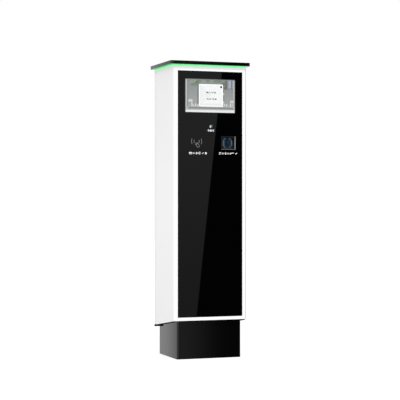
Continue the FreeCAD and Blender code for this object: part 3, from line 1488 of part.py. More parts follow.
SUB_PARTS = {
    "plinth_shell": plinth_shell,
    "plinth_base_plate": plinth_base_plate,
    "plinth_top_frame": plinth_top_frame,
    "cabinet_bolts": cabinet_bolts,
    "casing_shell": casing_shell,
    "floor_plate": floor_plate,
    "gland_plate": gland_plate,
    "cable_glands": cable_glands,
    "glass_ledge_frame": glass_ledge_frame,
    "glass_seal": glass_seal,
    "front_glass": front_glass,
    "touch_glass": touch_glass,
    "lcd_panel": lcd_panel,
    "display_board": display_board,
    "front_carrier_plate": front_carrier_plate,
    "carrier_standoffs": carrier_standoffs,
    "scanner_bezel": scanner_bezel,
    "scanner_window": scanner_window,
    "scanner_body": scanner_body,
    "scanner_lens": scanner_lens,
    "scanner_lamps": scanner_lamps,
    "card_reader_case": card_reader_case,
    "card_reader_board": card_reader_board,
    "help_button_body": help_button_body,
    "help_button_cap": help_button_cap,
    "help_button_nut": help_button_nut,
    "help_switch": help_switch,
    "microphone": microphone,
    "speaker_frame": speaker_frame,
    "speaker_cone": speaker_cone,
    "equipment_rails": equipment_rails,
    "equipment_plate": equipment_plate,
    "din_rail": din_rail,
    "power_supply": power_supply,
    "controller": controller,
    "circuit_breaker": circuit_breaker,
    "breaker_toggle": breaker_toggle,
    "terminal_blocks": terminal_blocks,
    "wiring_loom": wiring_loom,
    "roof_plate": roof_plate,
    "light_diffuser": light_diffuser,
    "light_carrier": light_carrier,
    "led_strips": led_strips,
    "top_cap": top_cap,
    "cap_bolts": cap_bolts,
    "door_panel": door_panel,
    "door_stiffener": door_stiffener,
    "door_seal": door_seal,
    "hinge_frame_leaves": hinge_frame_leaves,
    "hinge_door_leaves": hinge_door_leaves,
    "hinge_pins": hinge_pins,
    "lock_barrels": lock_barrels,
    "fan_frame": fan_frame,
    "fan_rotor": fan_rotor,
    "fan_guard": fan_guard,
    "fan_screws": fan_screws,
}


def main():
    """Write one STEP file for each sub-part."""
    os.makedirs("parts", exist_ok=True)
    shapes = {name: make() for name, make in SUB_PARTS.items()}
    for name, z in LOCK_HEIGHTS.items():
        shapes[name + "_lock_plug"] = lock_plug(z)
        shapes[name + "_lock_cam"] = lock_cam(z)
    for name, shape in shapes.items():
        bound = shape.BoundBox
        print(
            f"{name:22s} solids {len(shape.Solids):2d} valid {shape.isValid()} "
            f"volume {shape.Volume:10.0f} z {bound.ZMin:7.1f} {bound.ZMax:7.1f}"
        )
        shape.exportStep(f"parts/{name}.step")


main()
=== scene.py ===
"""Looks of a parking pay station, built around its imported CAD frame.

Metres, +Z up, glass front facing -Y, origin at floor level.
"""

import math
import random

import bpy
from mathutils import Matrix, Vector


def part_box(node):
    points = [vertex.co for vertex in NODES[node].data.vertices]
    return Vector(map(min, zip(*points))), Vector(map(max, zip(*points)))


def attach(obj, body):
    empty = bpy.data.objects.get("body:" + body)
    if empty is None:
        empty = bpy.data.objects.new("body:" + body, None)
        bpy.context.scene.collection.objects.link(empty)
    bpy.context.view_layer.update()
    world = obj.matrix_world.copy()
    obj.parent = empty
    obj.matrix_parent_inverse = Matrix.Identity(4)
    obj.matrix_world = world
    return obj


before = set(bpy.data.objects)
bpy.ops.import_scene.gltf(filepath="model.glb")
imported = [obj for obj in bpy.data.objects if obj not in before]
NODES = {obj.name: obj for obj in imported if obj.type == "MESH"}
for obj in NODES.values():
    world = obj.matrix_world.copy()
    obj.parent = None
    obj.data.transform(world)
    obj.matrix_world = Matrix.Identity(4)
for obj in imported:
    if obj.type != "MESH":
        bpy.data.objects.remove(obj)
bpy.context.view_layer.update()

MM = 0.001

# ---- camera and stage ----------------------------------------

CAMERA_PLACE = Vector((-1.8539, -5.2079, 0.6481))
CAMERA_YAW = 19.61
CAMERA_LENS = 119.09

FLAG_Y = -1.90
FLAG_LEFT = 0.36
FLAG_RIGHT = 3.2
FLAG_TOP = 2.4
FLAG_BOTTOM = -1.2
PANEL_TOP = 1.37
PANEL_EDGE_LOW = 0.5614
PANEL_EDGE_HIGH = 0.7116


def make_camera():
    """The camera, level and turned a little to the right."""
    data = bpy.data.cameras.new("camera")
    data.lens = CAMERA_LENS
    data.sensor_width = 36.0
    data.clip_end = 60.0
    camera = bpy.data.objects.new("camera", data)
    camera.location = CAMERA_PLACE
    camera.rotation_euler = (math.radians(90), 0, -math.radians(CAMERA_YAW))
    bpy.context.scene.collection.objects.link(camera)
    bpy.context.scene.camera = camera


make_camera()

# ---- mesh building blocks ------------------------------------


def mesh_object(name, points, faces, materials):
    """A mesh object whose faces are (corner indices, material index)."""
    mesh = bpy.data.meshes.new(name)
    mesh.from_pydata([tuple(p) for p in points], [], [f for f, _ in faces])
    for material in materials:
        mesh.materials.append(material)
    for polygon, (_, slot) in zip(mesh.polygons, faces):
        polygon.material_index = slot
    mesh.update()
    made = bpy.data.objects.new(name, mesh)
    bpy.context.scene.collection.objects.link(made)
    return made


def rounded_rectangle(x, z, width, height, radius, steps=6):
    """Outline points of a rectangle with round corners, in the XZ plane."""
    points = []
    corners = ((1, 1, 0), (-1, 1, 90), (-1, -1, 180), (1, -1, 270))
    for side_x, side_z, start in corners:
        cx = x + side_x * (width / 2 - radius)
        cz = z + side_z * (height / 2 - radius)
        for k in range(steps + 1):
            turn = math.radians(start + 90 * k / steps)
            points.append((cx + radius * math.cos(turn), cz + radius * math.sin(turn)))
    return points


def disc(x, z, radius, steps=32):
    """Outline points of a disc in the XZ plane."""
    turns = [2 * math.pi * k / steps for k in range(steps)]
    return [(x + radius * math.cos(t), z + radius * math.sin(t)) for t in turns]


def arc_band(x, z, radius, width, start, end, steps=20):
    """Outline of a curved stroke of one width, in degrees from +X."""
    turns = [math.radians(start + (end - start) * k / steps) for k in range(steps + 1)]
    outer = radius + width / 2
    inner = radius - width / 2
    outside = [(x + outer * math.cos(t), z + outer * math.sin(t)) for t in turns]
    inside = [(x + inner * math.cos(t), z + inner * math.sin(t)) for t in reversed(turns)]
    return outside + inside


def flat_plates(name, plates, materials, thickness):
    """One object of thin plates facing -Y; each is (outline, front depth, material index)."""
    points = []
    faces = []
    for outline, y, slot in plates:
        first = len(points)
        count = len(outline)
        points += [(x, y, z) for x, z in outline]
        points += [(x, y + thickness, z) for x, z in outline]
        faces.append((list(range(first, first + count)), slot))
        faces.append((list(range(first + 2 * count - 1, first + count - 1, -1)), slot))
        for k in range(count):
            after = (k + 1) % count
            side = [first + k, first + k + count, first + after + count, first + after]
            faces.append((side, slot))
    return mesh_object(name, points, faces, materials)


def box_faces(first):
    """Faces of a box whose eight corners start at an index."""
    sides = ((0, 3, 2, 1), (4, 5, 6, 7), (0, 1, 5, 4), (1, 2, 6, 5), (2, 3, 7, 6), (3, 0, 4, 7))
    return [[first + k for k in side] for side in sides]


def boxes(name, blocks, materials, bevel=0.0):
    """One object of many blocks; each is (low corner, high corner, material index)."""
    points = []
    faces = []
    for low, high, slot in blocks:
        first = len(points)
        for z in (low[2], high[2]):
            points += [(low[0], low[1], z), (high[0], low[1], z)]
            points += [(high[0], high[1], z), (low[0], high[1], z)]
        faces += [(face, slot) for face in box_faces(first)]
    made = mesh_object(name, points, faces, materials)
    if bevel:
        edge = made.modifiers.new("edge", "BEVEL")
        edge.width = bevel
        edge.segments = 2
    return made


def figure_plate(name, figures, x, z, height, y, material):
    """Plain figures as a thin flat plate, centred on a place."""
    curve = bpy.data.curves.new(name, "FONT")
    curve.body = figures
    curve.size = height
    curve.align_x = "CENTER"
    curve.align_y = "CENTER"
    curve.offset = height * 0.03
    letters = bpy.data.objects.new(name + "_source", curve)
    bpy.context.scene.collection.objects.link(letters)
    bpy.context.view_layer.update()
    shape = letters.evaluated_get(bpy.context.evaluated_depsgraph_get())
    mesh = bpy.data.meshes.new_from_object(shape)
    bpy.data.objects.remove(letters)
    made = bpy.data.objects.new(name, mesh)
    mesh.materials.clear()
    mesh.materials.append(material)
    for vertex in mesh.vertices:
        vertex.co = Vector((x + vertex.co.x, y, z + vertex.co.y))
    bpy.context.scene.collection.objects.link(made)
    return made


# ---- material building blocks --------------------------------


class Surface:
    """A principled material with a few plain helpers for its procedural detail."""

    def __init__(self, name, colour, roughness, metallic=0.0):
        self.material = bpy.data.materials.new(name)
        self.material.use_nodes = True
        self.tree = self.material.node_tree
        self.shader = self.tree.nodes["Principled BSDF"]
        self.colour = colour
        self.put("Base Color", colour)
        self.put("Roughness", roughness)
        self.put("Metallic", metallic)
        self.place = self.node("ShaderNodeTexCoord").outputs["Object"]

    def feed(self, socket, value):
        """Links an output to a socket, or sets the socket's own value or colour."""
        if isinstance(value, bpy.types.NodeSocket):
            self.tree.links.new(value, socket)
        elif socket.type == "RGBA":
            socket.default_value = (*value, 1.0)
        else:
            socket.default_value = value

    def put(self, name, value):
        """Sets or links one input of the main shader."""
        self.feed(self.shader.inputs[name], value)

    def node(self, kind, inputs=None, **settings):
        """A new node with some settings, and inputs set or linked by name or number."""
        made = self.tree.nodes.new(kind)
        for key, value in settings.items():
            setattr(made, key, value)
        for key, value in (inputs or {}).items():
            self.feed(made.inputs[key], value)
        return made

    def stretched(self, scale):
        """Object coordinates scaled by (x, y, z)."""
        return self.node("ShaderNodeMapping", {"Scale": scale, "Vector": self.place}).outputs["Vector"]

    def axes(self, vector=None):
        """The X, Y and Z outputs of a vector, or of the object coordinates."""
        return self.node("ShaderNodeSeparateXYZ", {"Vector": vector or self.place}).outputs

    def worked_out(self, operation, first, second):
        """A value worked out from two others."""
        return self.node("ShaderNodeMath", {0: first, 1: second}, operation=operation).outputs["Value"]

    def noise(self, scale, detail=3.0, vector=None):
        """Noise value from 0 to 1."""
        inputs = {"Scale": scale, "Detail": detail, "Vector": vector or self.place}
        return self.node("ShaderNodeTexNoise", inputs).outputs["Fac"]

    def cells(self, scale):
        """Distance to the nearest cell centre, and that cell's random colour."""
        texture = self.node("ShaderNodeTexVoronoi", {"Scale": scale, "Vector": self.place})
        return texture.outputs["Distance"], texture.outputs["Color"]

    def spread(self, value, low, high, from_low=0.3, from_high=0.7, style="LINEAR"):
        """A value mapped from one span to another."""
        spans = {"From Min": from_low, "From Max": from_high, "To Min": low, "To Max": high}
        inputs = {"Value": value, **spans}
        return self.node("ShaderNodeMapRange", inputs, interpolation_type=style).outputs["Result"]

    def mixed(self, factor, first, second):
        """Two colours mixed by a factor."""
        inputs = {"Factor": factor, "A": first, "B": second}
        return self.node("ShaderNodeMix", inputs, data_type="RGBA").outputs["Result"]

    def colour_between(self, value, first, second, from_low=0.3, from_high=0.7):
        """Base colour that wanders between two colours."""
        factor = self.spread(value, 0.0, 1.0, from_low, from_high)
        self.put("Base Color", self.mixed(factor, first, second))

    def tone_between(self, value, low, high):
        """Base colour that wanders between two shades of the material's own colour."""
        self.colour_between(value, scaled(self.colour, low), scaled(self.colour, high))

    def roughness_between(self, value, low, high):
        """Roughness that wanders between two values."""
        self.put("Roughness", self.spread(value, low, high))

    def bump(self, value, distance):
        """Surface relief of a depth in metres."""
        relief = self.node("ShaderNodeBump", {"Strength": 1.0, "Distance": distance, "Height": value})
        self.put("Normal", relief.outputs["Normal"])

    def glow(self, colour, strength):
        """Light given off by the surface."""
        self.put("Emission Color", colour)
        self.put("Emission Strength", strength)


def scaled(colour, factor):
    """A colour made lighter or darker."""
    return tuple(min(1.0, c * factor) for c in colour)


PAINT_GRAIN = 0.02 * MM
# Near black painted shade for the faces of the white paint that look down.
UNDERSIDE_SHADE_COLOUR = (0.012, 0.012, 0.013)


def orange_peel(paint, roughness, depth):
    """The uneven gloss and fine relief of baked powder paint."""
    paint.roughness_between(paint.noise(14.0), roughness * 0.9, roughness * 1.1)
    paint.bump(paint.noise(620.0, 2.0), depth)


def powder_coat(name, colour, roughness, peel):
    """Baked powder paint with slight changes of tone."""
    paint = Surface(name, colour, roughness)
    paint.tone_between(paint.noise(3.0), 0.985, 1.01)
    orange_peel(paint, roughness, peel)
    return paint.material


def body_coat(name, white, roughness):
    """White powder paint with painted shade: near black and nearly sheenless on faces that look down,
    greyer where the right front edge rounds away.
    """
    paint = Surface(name, white, roughness)
    tone = paint.spread(paint.noise(3.0), 0.0, 1.0)
    painted = paint.mixed(tone, scaled(white, 0.985), scaled(white, 1.01))
    facing = paint.axes(paint.node("ShaderNodeNewGeometry").outputs["Normal"])
    # Painted shade: the paint turns greyer where the right front edge rounds away from the light.
    rightward = paint.spread(facing["X"], 0.0, 1.0, 0.3, 0.6)
    forward = paint.spread(facing["Y"], 1.0, 0.0, -0.4, -0.15)
    edge_shade = paint.worked_out("MULTIPLY", rightward, forward)
    edge_shaded = paint.mixed(edge_shade, painted, scaled(white, 0.4))
    # Painted shade: faces that look down turn near black and lose most of their sheen.
    below = paint.spread(facing["Z"], 1.0, 0.0, -0.97, -0.9)
    paint.put("Base Color", paint.mixed(below, edge_shaded, UNDERSIDE_SHADE_COLOUR))
    paint.put("Specular IOR Level", paint.spread(facing["Z"], 0.03, 0.5, -0.97, -0.9))
    orange_peel(paint, roughness, PAINT_GRAIN)
    return paint.material


def matte_coat(name, colour):
    """Dull paint with a fine dry texture and hardly any sheen."""
    paint = Surface(name, colour, 0.9)
    paint.put("Specular IOR Level", 0.05)
    paint.tone_between(paint.noise(30.0), 0.9, 1.1)
    paint.bump(paint.noise(700.0, 2.0), PAINT_GRAIN)
    return paint.material


def gloss_coat(name, colour, roughness):
    """Smooth dark lacquer with faint dust-fine variation in its gloss."""
    paint = Surface(name, colour, roughness)
    paint.roughness_between(paint.noise(9.0), roughness * 0.8, roughness * 1.2)
    paint.bump(paint.noise(420.0, 2.0), 0.008 * MM)
    return paint.material


def printed_glass():
    """Polished glass printed black on its back, with faint wipe marks in its gloss."""
    glass = Surface("printed_glass", (0.0006, 0.0006, 0.0007), 0.02)
    wipes = glass.noise(5.0, 4.0, glass.stretched((1.0, 1.0, 0.25)))
    glass.roughness_between(wipes, 0.012, 0.03)
    return glass.material


def clear_glass(name, tint):
    """Thin clear glass: straight through, with a reflection by angle on its outer face only."""
    glass = Surface(name, tint, 0.02)
    clear = glass.node("ShaderNodeBsdfTransparent", {"Color": tint}).outputs["BSDF"]
    gloss = glass.node("ShaderNodeBsdfGlossy", {"Roughness": 0.02}).outputs["BSDF"]
    edge = glass.node("ShaderNodeFresnel", {"IOR": 1.45}).outputs["Fac"]
    backs = glass.node("ShaderNodeNewGeometry").outputs["Backfacing"]
    outer = glass.worked_out("MULTIPLY", edge, glass.worked_out("SUBTRACT", 1.0, backs))
    mix = glass.node("ShaderNodeMixShader", {"Fac": outer, 1: clear, 2: gloss})
    glass.feed(glass.tree.nodes["Material Output"].inputs["Surface"], mix.outputs["Shader"])
    return glass.material


def brushed(name, colour, roughness, along):
    """Brushed or rolled metal with fine lines along one axis."""
    metal = Surface(name, colour, roughness, 1.0)
    scale = [900.0, 900.0, 900.0]
    scale["xyz".index(along)] = 12.0
    lines = metal.noise(1.0, 2.0, metal.stretched(tuple(scale)))
    metal.roughness_between(lines, roughness * 0.75, roughness * 1.25)
    metal.tone_between(metal.noise(20.0), 0.93, 1.04)
    metal.bump(lines, 0.01 * MM)
    return metal.material


def zinc_plate(name, colour):
    """Galvanised sheet with its crystal spangle."""
    metal = Surface(name, colour, 0.38, 1.0)
    grey = metal.node("ShaderNodeRGBToBW", {"Color": metal.cells(70.0)[1]}).outputs["Val"]
    metal.tone_between(grey, 0.82, 1.1)
    metal.roughness_between(grey, 0.3, 0.48)
    return metal.material


def plated(name, colour, roughness):
    """Plated fastener metal with slight handling marks."""
    metal = Surface(name, colour, roughness, 1.0)
    metal.tone_between(metal.noise(180.0), 0.88, 1.05)
    metal.roughness_between(metal.noise(350.0), roughness * 0.7, roughness * 1.4)
    return metal.material


def shaded_bezel():
    """Anodised trim with a painted highlight: coloured lighter towards its right and lower edges, dark at
    its left and top.
    """
    trim = Surface("bezel_metal", (0.2, 0.2, 0.21), 0.45, 1.0)
    low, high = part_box("scanner_bezel")
    at = trim.axes()
    # Painted highlight on the right and lower edges of the trim.
    right = trim.spread(at["X"], 0.0, 1.0, high.x - 8.8 * MM, high.x - 7.8 * MM)
    foot = trim.spread(at["Z"], 1.0, 0.0, low.z + 7.6 * MM, low.z + 8.6 * MM)
    painted_highlight = trim.worked_out("MAXIMUM", right, foot)
    trim.put("Base Color", trim.mixed(painted_highlight, (0.07, 0.07, 0.075), (0.36, 0.36, 0.37)))
    trim.roughness_between(trim.noise(350.0), 0.36, 0.5)
    return trim.material


def moulded(name, colour, roughness, grain=0.02 * MM):
    """Moulded plastic with a fine spark-eroded grain."""
    plastic = Surface(name, colour, roughness)
    plastic.tone_between(plastic.noise(12.0), 0.94, 1.05)
    plastic.roughness_between(plastic.noise(60.0), roughness * 0.9, roughness * 1.1)
    plastic.bump(plastic.cells(2600.0)[0], grain)
    return plastic.material


def sponge_rubber(name, colour):
    """Closed-cell rubber with small pores."""
    rubber = Surface(name, colour, 0.85)
    rubber.bump(rubber.cells(1500.0)[0], 0.06 * MM)
    rubber.tone_between(rubber.noise(40.0), 0.8, 1.3)
    return rubber.material


def circuit_board():
    """Green solder mask over straight copper tracks."""
    board = Surface("circuit_board", (0.02, 0.14, 0.06), 0.35)
    turn = {"Rotation": (math.radians(90), 0, 0), "Vector": board.place}
    upright_place = board.node("ShaderNodeMapping", turn).outputs["Vector"]
    inputs = {"Scale": 160.0, "Mortar Size": 0.03, "Vector": upright_place}
    tracks = board.node("ShaderNodeTexBrick", inputs).outputs["Fac"]
    board.colour_between(tracks, (0.015, 0.12, 0.05), (0.05, 0.26, 0.1), 0.0, 1.0)
    board.bump(tracks, 0.03 * MM)
    return board.material


def lit_diffuser():
    """Frosted acrylic lit from behind: brighter over each lamp."""
    acrylic = Surface("lit_diffuser", (0.1, 0.5, 0.2), 0.45)
    bands = acrylic.noise(26.0, 1.0, acrylic.stretched((1.0, 1.0, 0.0)))
    colour = acrylic.mixed(acrylic.spread(bands, 0.0, 1.0), (0.17, 0.72, 0.26), (0.23, 0.8, 0.34))
    acrylic.glow(colour, 0.8)
    acrylic.bump(acrylic.noise(1800.0, 1.0), 0.01 * MM)
    return acrylic.material


def glowing(name, colour, strength, grain=0.0):
    """A lit surface, such as a display's picture or a lamp lens."""
    lit = Surface(name, scaled(colour, 0.15), 0.4)
    lit.glow(colour, strength)
    if grain:
        shade = lit.spread(lit.noise(260.0, 2.0), 1.0 - grain, 1.0 + grain)
        lit.put("Emission Strength", lit.worked_out("MULTIPLY", shade, strength))
    return lit.material


def lit_metal(name, colour, glow, strength):
    """Satin metal with a faint light of its own."""
    metal = Surface(name, colour, 0.22, 1.0)
    metal.roughness_between(metal.noise(300.0), 0.18, 0.26)
    metal.glow(glow, strength)
    return metal.material


def print_ink(name, colour):
    """Screen-printed ink with a slightly uneven film."""
    ink = Surface(name, colour, 0.5)
    ink.tone_between(ink.noise(900.0), 0.92, 1.05)
    return ink.material


# ---- materials of the CAD nodes ------------------------------

UNDERSIDE_BLACK = matte_coat("underside_black", (0.014, 0.014, 0.015))
FASTENER = plated("fastener_plate", (0.58, 0.57, 0.53), 0.3)
BARE_ALUMINIUM = brushed("bare_aluminium", (0.76, 0.77, 0.78), 0.28, "x")
GREY_PLASTIC = moulded("grey_plastic", (0.5, 0.5, 0.49), 0.45)


def dress(material, *nodes):
    """Gives CAD nodes their material."""
    for node in nodes:
        mesh = NODES[node].data
        if not mesh.materials:
            mesh.materials.append(material)
        for k in range(len(mesh.materials)):
            mesh.materials[k] = material


dress(
    body_coat("white_powder_coat", (0.778, 0.778, 0.778), 0.42), "casing_shell", "door_panel",
    "roof_plate", "hinge_frame_leaves", "hinge_door_leaves",
)
dress(gloss_coat("plinth_black", (0.0009, 0.0009, 0.001), 0.08), "plinth_shell")
dress(gloss_coat("cap_black", (0.0012, 0.0012, 0.0014), 0.14), "top_cap")
dress(UNDERSIDE_BLACK, "floor_plate")
dress(
    powder_coat("inside_black", (0.02, 0.02, 0.022), 0.5, 0.03 * MM), "plinth_base_plate",
    "plinth_top_frame",
)
dress(printed_glass(), "front_glass")
dress(clear_glass("touch_glass_clear", (0.97, 0.98, 0.98)), "touch_glass")
dress(clear_glass("window_glass_clear", (0.8, 0.88, 0.92)), "scanner_window")
dress(glowing("display_back", (0.36, 0.37, 0.38), 0.5), "lcd_panel")
dress(lit_diffuser(), "light_diffuser")
dress(lit_metal("button_lit", (0.72, 0.8, 0.84), (0.2, 0.5, 0.8), 0.06), "help_button_cap")
dress(
    zinc_plate("zinc_plate", (0.62, 0.63, 0.65)), "glass_ledge_frame", "front_carrier_plate",
    "equipment_rails", "equipment_plate", "door_stiffener", "gland_plate",
)
dress(
    FASTENER, "din_rail", "cabinet_bolts", "cap_bolts", "carrier_standoffs", "fan_screws",
    "hinge_pins", "upper_lock_cam", "lower_lock_cam",
)
dress(plated("wire_plate", (0.66, 0.66, 0.68), 0.2), "fan_guard")
dress(
    plated("polished_plate", (0.75, 0.75, 0.77), 0.1), "lock_barrels", "upper_lock_plug",
    "lower_lock_plug",
)
dress(sponge_rubber("sponge_rubber", (0.012, 0.012, 0.012)), "glass_seal", "door_seal")
dress(moulded("scanner_plastic", (0.024, 0.033, 0.042), 0.4), "scanner_body")
dress(
    moulded("black_plastic", (0.012, 0.012, 0.013), 0.5), "card_reader_case", "fan_frame", "fan_rotor",
    "help_switch", "help_button_nut", "cable_glands", "speaker_frame",
)
dress(shaded_bezel(), "scanner_bezel")
dress(gloss_coat("dark_ring", (0.003, 0.003, 0.0035), 0.3), "help_button_body", "microphone")
dress(gloss_coat("lens_coating", (0.015, 0.03, 0.05), 0.05), "scanner_lens")
dress(glowing("lamp_dome", (0.55, 0.6, 0.65), 0.16), "scanner_lamps")
dress(circuit_board(), "display_board", "card_reader_board")
dress(sponge_rubber("cone_paper", (0.03, 0.03, 0.03)), "speaker_cone")
dress(brushed("brushed_case", (0.66, 0.67, 0.69), 0.3, "z"), "power_supply")
dress(brushed("anodised_fins", (0.035, 0.035, 0.04), 0.4, "z"), "controller")
dress(GREY_PLASTIC, "circuit_breaker")
dress(moulded("toggle_plastic", (0.02, 0.06, 0.3), 0.3), "breaker_toggle")
dress(moulded("terminal_plastic", (0.32, 0.34, 0.34), 0.5), "terminal_blocks")
dress(moulded("cable_sheath", (0.018, 0.018, 0.02), 0.55), "wiring_loom")
dress(BARE_ALUMINIUM, "light_carrier")
dress(glowing("led_strip", (0.5, 1.0, 0.6), 1.0), "led_strips")

# ---- printing on the glass -----------------------------------

INK_THICK = 0.05 * MM
PRINT_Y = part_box("front_glass")[0].y - INK_THICK
GREY_INK = print_ink("grey_ink", (0.14, 0.14, 0.14))
WHITE_INK = print_ink("white_ink", (0.9, 0.9, 0.9))
SYMBOL = 8.4 * MM
STROKE = 1.7 * MM
CAPTION_Z = 838.8 * MM


def middle_of(node):
    """Middle of a CAD node across the front, as x and z."""
    low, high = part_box(node)
    return (low.x + high.x) / 2, (low.z + high.z) / 2


def bar(x, z, width, height):
    """Outline of a small bar with round ends."""
    return rounded_rectangle(x, z, width, height, min(width, height) * 0.49, 3)


def frame_strokes(x, z, width, height):
    """Outlines of the four sides of a small box."""
    across = width - STROKE
    up = height - STROKE
    sides = [bar(x, z + side * up / 2, width, STROKE) for side in (-1, 1)]
    return sides + [bar(x + side * across / 2, z, STROKE, height) for side in (-1, 1)]


def turned(points, x, z, degrees):
    """Outline points turned about a place."""
    cos, sin = math.cos(math.radians(degrees)), math.sin(math.radians(degrees))
    return [(x + (a - x) * cos - (b - z) * sin, z + (a - x) * sin + (b - z) * cos) for a, b in points]


def slanted_bar(x, z, width, height, degrees):
    """A bar turned about its own middle."""
    return turned(bar(x, z, width, height), x, z, degrees)


def chevron(x, z):
    """A small arrow head pointing right."""
    reach = SYMBOL * 0.45
    return [slanted_bar(x, z + k * reach * 0.33, reach * 1.15, STROKE, -45 * k) for k in (-1, 1)]


def tick(x, z):
    """A small tick mark."""
    short = slanted_bar(x - 2.0 * MM, z - 1.2 * MM, 4.6 * MM, STROKE, -45)
    long = slanted_bar(x + 1.6 * MM, z + 0.2 * MM, 8.2 * MM, STROKE, 50)
    return [short, long]


def waves(x, z, radii, half_angle, stroke=STROKE):
    """Curved strokes spreading to the right from a point."""
    return [arc_band(x, z, radius, stroke, -half_angle, half_angle, 12) for radius in radii]


def both_ways(outlines, x, z):
    """Outlines, and the same turned half way round a point."""
    return [turned(outline, x, z, half) for half in (0, 180) for outline in outlines]


def person(x, z):
    """Head and shoulders."""
    head = disc(x, z + 2.0 * MM, 2.0 * MM, 16)
    shoulders = arc_band(x, z - 3.9 * MM, 2.0 * MM, 3.8 * MM, 0, 180, 14)
    return [head, shoulders]


def small_card(x, z):
    """A payment card with its stripe."""
    stripe = bar(x, z + 1.0 * MM, SYMBOL * 1.4, 2.0 * MM)
    return frame_strokes(x, z, SYMBOL * 1.55, SYMBOL) + [stripe]


def receipt(x, z):
    """A slip of paper with three lines."""
    lines = [bar(x, z + dz * MM, SYMBOL * 0.5, 0.9 * MM) for dz in (-1.9, 0, 1.9)]
    return frame_strokes(x, z, SYMBOL * 0.95, SYMBOL) + lines


def terminal(x, z):
    """A hand-held sized reader with its keys."""
    keys = [bar(x + dx * MM, z - dz * MM, 1.2 * MM, 1.2 * MM) for dx in (-1.1, 1.1) for dz in (0.4, 2.2)]
    return frame_strokes(x, z, SYMBOL * 0.8, SYMBOL) + keys


def code_square(x, z):
    """Three finder squares and some dots."""
    reach = SYMBOL * 0.33
    parts = []
    for dx, dz in ((-1, 1), (1, 1), (-1, -1)):
        parts.append(bar(x + dx * reach, z + dz * reach, 3.6 * MM, 3.6 * MM))
    for dx, dz in ((0.5, -0.5), (1.3, -1.3), (1.3, -0.2), (0.2, -1.3), (0, 0.2)):
        parts.append(bar(x + dx * reach, z + dz * reach, 1.4 * MM, 1.4 * MM))
    return parts


def barrier(x, z):
    """A barrier post with its arm raised a little."""
    post = bar(x - 6 * MM, z - 0.6 * MM, 3.2 * MM, SYMBOL * 0.85)
    return [post, slanted_bar(x + 1.5 * MM, z + 1.6 * MM, 15 * MM, 2.2 * MM, 10)]


def printed(name, outlines, ink):
    """Outlines printed on the glass in one ink."""
    made = flat_plates(name, [(outline, PRINT_Y, 0) for outline in outlines], [ink], INK_THICK)
    return made


def card_tap_icon():
    """A tilted payment card under two pairs of waves, in grey."""
    x, z = middle_of("card_reader_case")
    x += 0.5 * MM
    z += 14.5 * MM
    stroke = 2.4 * MM
    near_and_far = waves(x, z, (11.5 * MM,), 33, stroke) + waves(x, z, (22 * MM,), 30, stroke)
    outlines = both_ways(near_and_far, x, z)
    card_x, card_z = x + 4 * MM, z - 14.5 * MM
    width, height = 13 * MM, 21 * MM
    sides = []
    for side in (-1, 1):
        sides.append(bar(card_x + side * (width - stroke) / 2, card_z, stroke, height))
        sides.append(bar(card_x, card_z + side * (height - stroke) / 2, width, stroke))
    sides.append(bar(card_x, card_z + 4.5 * MM, width * 0.8, 3 * MM))
    outlines += [turned(side, card_x, card_z, 38) for side in sides]
    return printed("card_tap_icon", outlines, GREY_INK)


def captions():
    """Rows of symbols in place of words under the button, the card field and the window."""
    x, button_z = middle_of("help_button_body")
    z = button_z - 15.8 * MM
    call = person(x, z) + both_ways(waves(x, z, (6.2 * MM, 9.4 * MM, 12.4 * MM), 22, 1.4 * MM), x, z)
    x, z = middle_of("card_reader_case")[0] + 7.5 * MM, CAPTION_Z
    tap = small_card(x - 33 * MM, z) + chevron(x - 21.5 * MM, z) + chevron(x - 17 * MM, z)
    tap += terminal(x - 7 * MM, z) + waves(x - 4 * MM, z, (4 * MM, 8 * MM, 12 * MM), 30)
    tap += tick(x + 19 * MM, z) + receipt(x + 33 * MM, z)
    x = middle_of("scanner_bezel")[0] - 0.5 * MM
    scan = code_square(x - 36 * MM, z) + chevron(x - 26 * MM, z) + chevron(x - 21.5 * MM, z)
    scan += terminal(x - 12 * MM, z) + chevron(x - 2.5 * MM, z) + chevron(x + 2 * MM, z)
    scan += barrier(x + 15 * MM, z) + tick(x + 34 * MM, z)
    rows = (("call_symbols", call), ("tap_symbols", tap), ("scan_symbols", scan))
    return [printed(name, outlines, WHITE_INK) for name, outlines in rows]


for piece in [card_tap_icon()] + captions():
    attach(piece, "cabinet")

# ---- display picture -----------------------------------------

TOUCH_LOW, TOUCH_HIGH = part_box("touch_glass")
PICTURE_LEFT = 3.1 * MM
PICTURE_RIGHT = 1.8 * MM
PICTURE_TOP = 2.0 * MM
PICTURE_FOOT = 1.3 * MM
PICTURE_Y = -127.55 * MM
LAYER = 0.005 * MM


def screen_point(across, up):
    """A place on the picture from fractions of its width and height."""
    width = TOUCH_HIGH.x - TOUCH_LOW.x - PICTURE_LEFT - PICTURE_RIGHT
    height = TOUCH_HIGH.z - TOUCH_LOW.z - PICTURE_TOP - PICTURE_FOOT
    return TOUCH_LOW.x + PICTURE_LEFT + across * width, TOUCH_LOW.z + PICTURE_FOOT + up * height


def patch(*corners):
    """Outline from picture fractions."""
    return [screen_point(across, up) for across, up in corners]


def block(left, foot, right, top):
    """Outline of an upright rectangle in picture fractions."""
    return patch((left, foot), (right, foot), (right, top), (left, top))


def pill(across, up, width, height, radius, drop=0.0):
    """A small round-cornered block in mm about a place in picture fractions."""
    x, z = screen_point(across, up)
    return rounded_rectangle(x, z - drop * MM, width * MM, height * MM, radius * MM)


def crown(across, up, radius, lobes, seed):
    """A tree crown: a disc with an uneven, lobed edge, kept inside the picture."""
    x, z = screen_point(across, up)
    left, top = screen_point(0.05, 0.99)
    points = []
    for k in range(40):
        turn = 2 * math.pi * k / 40
        wave = 0.14 * math.sin(lobes * turn + seed) + 0.08 * math.sin((2 * lobes + 1) * turn + seed)
        reach = radius * (1 + wave)
        points.append((max(left, x + reach * math.cos(turn)), min(top, z + reach * 0.8 * math.sin(turn))))
    return points


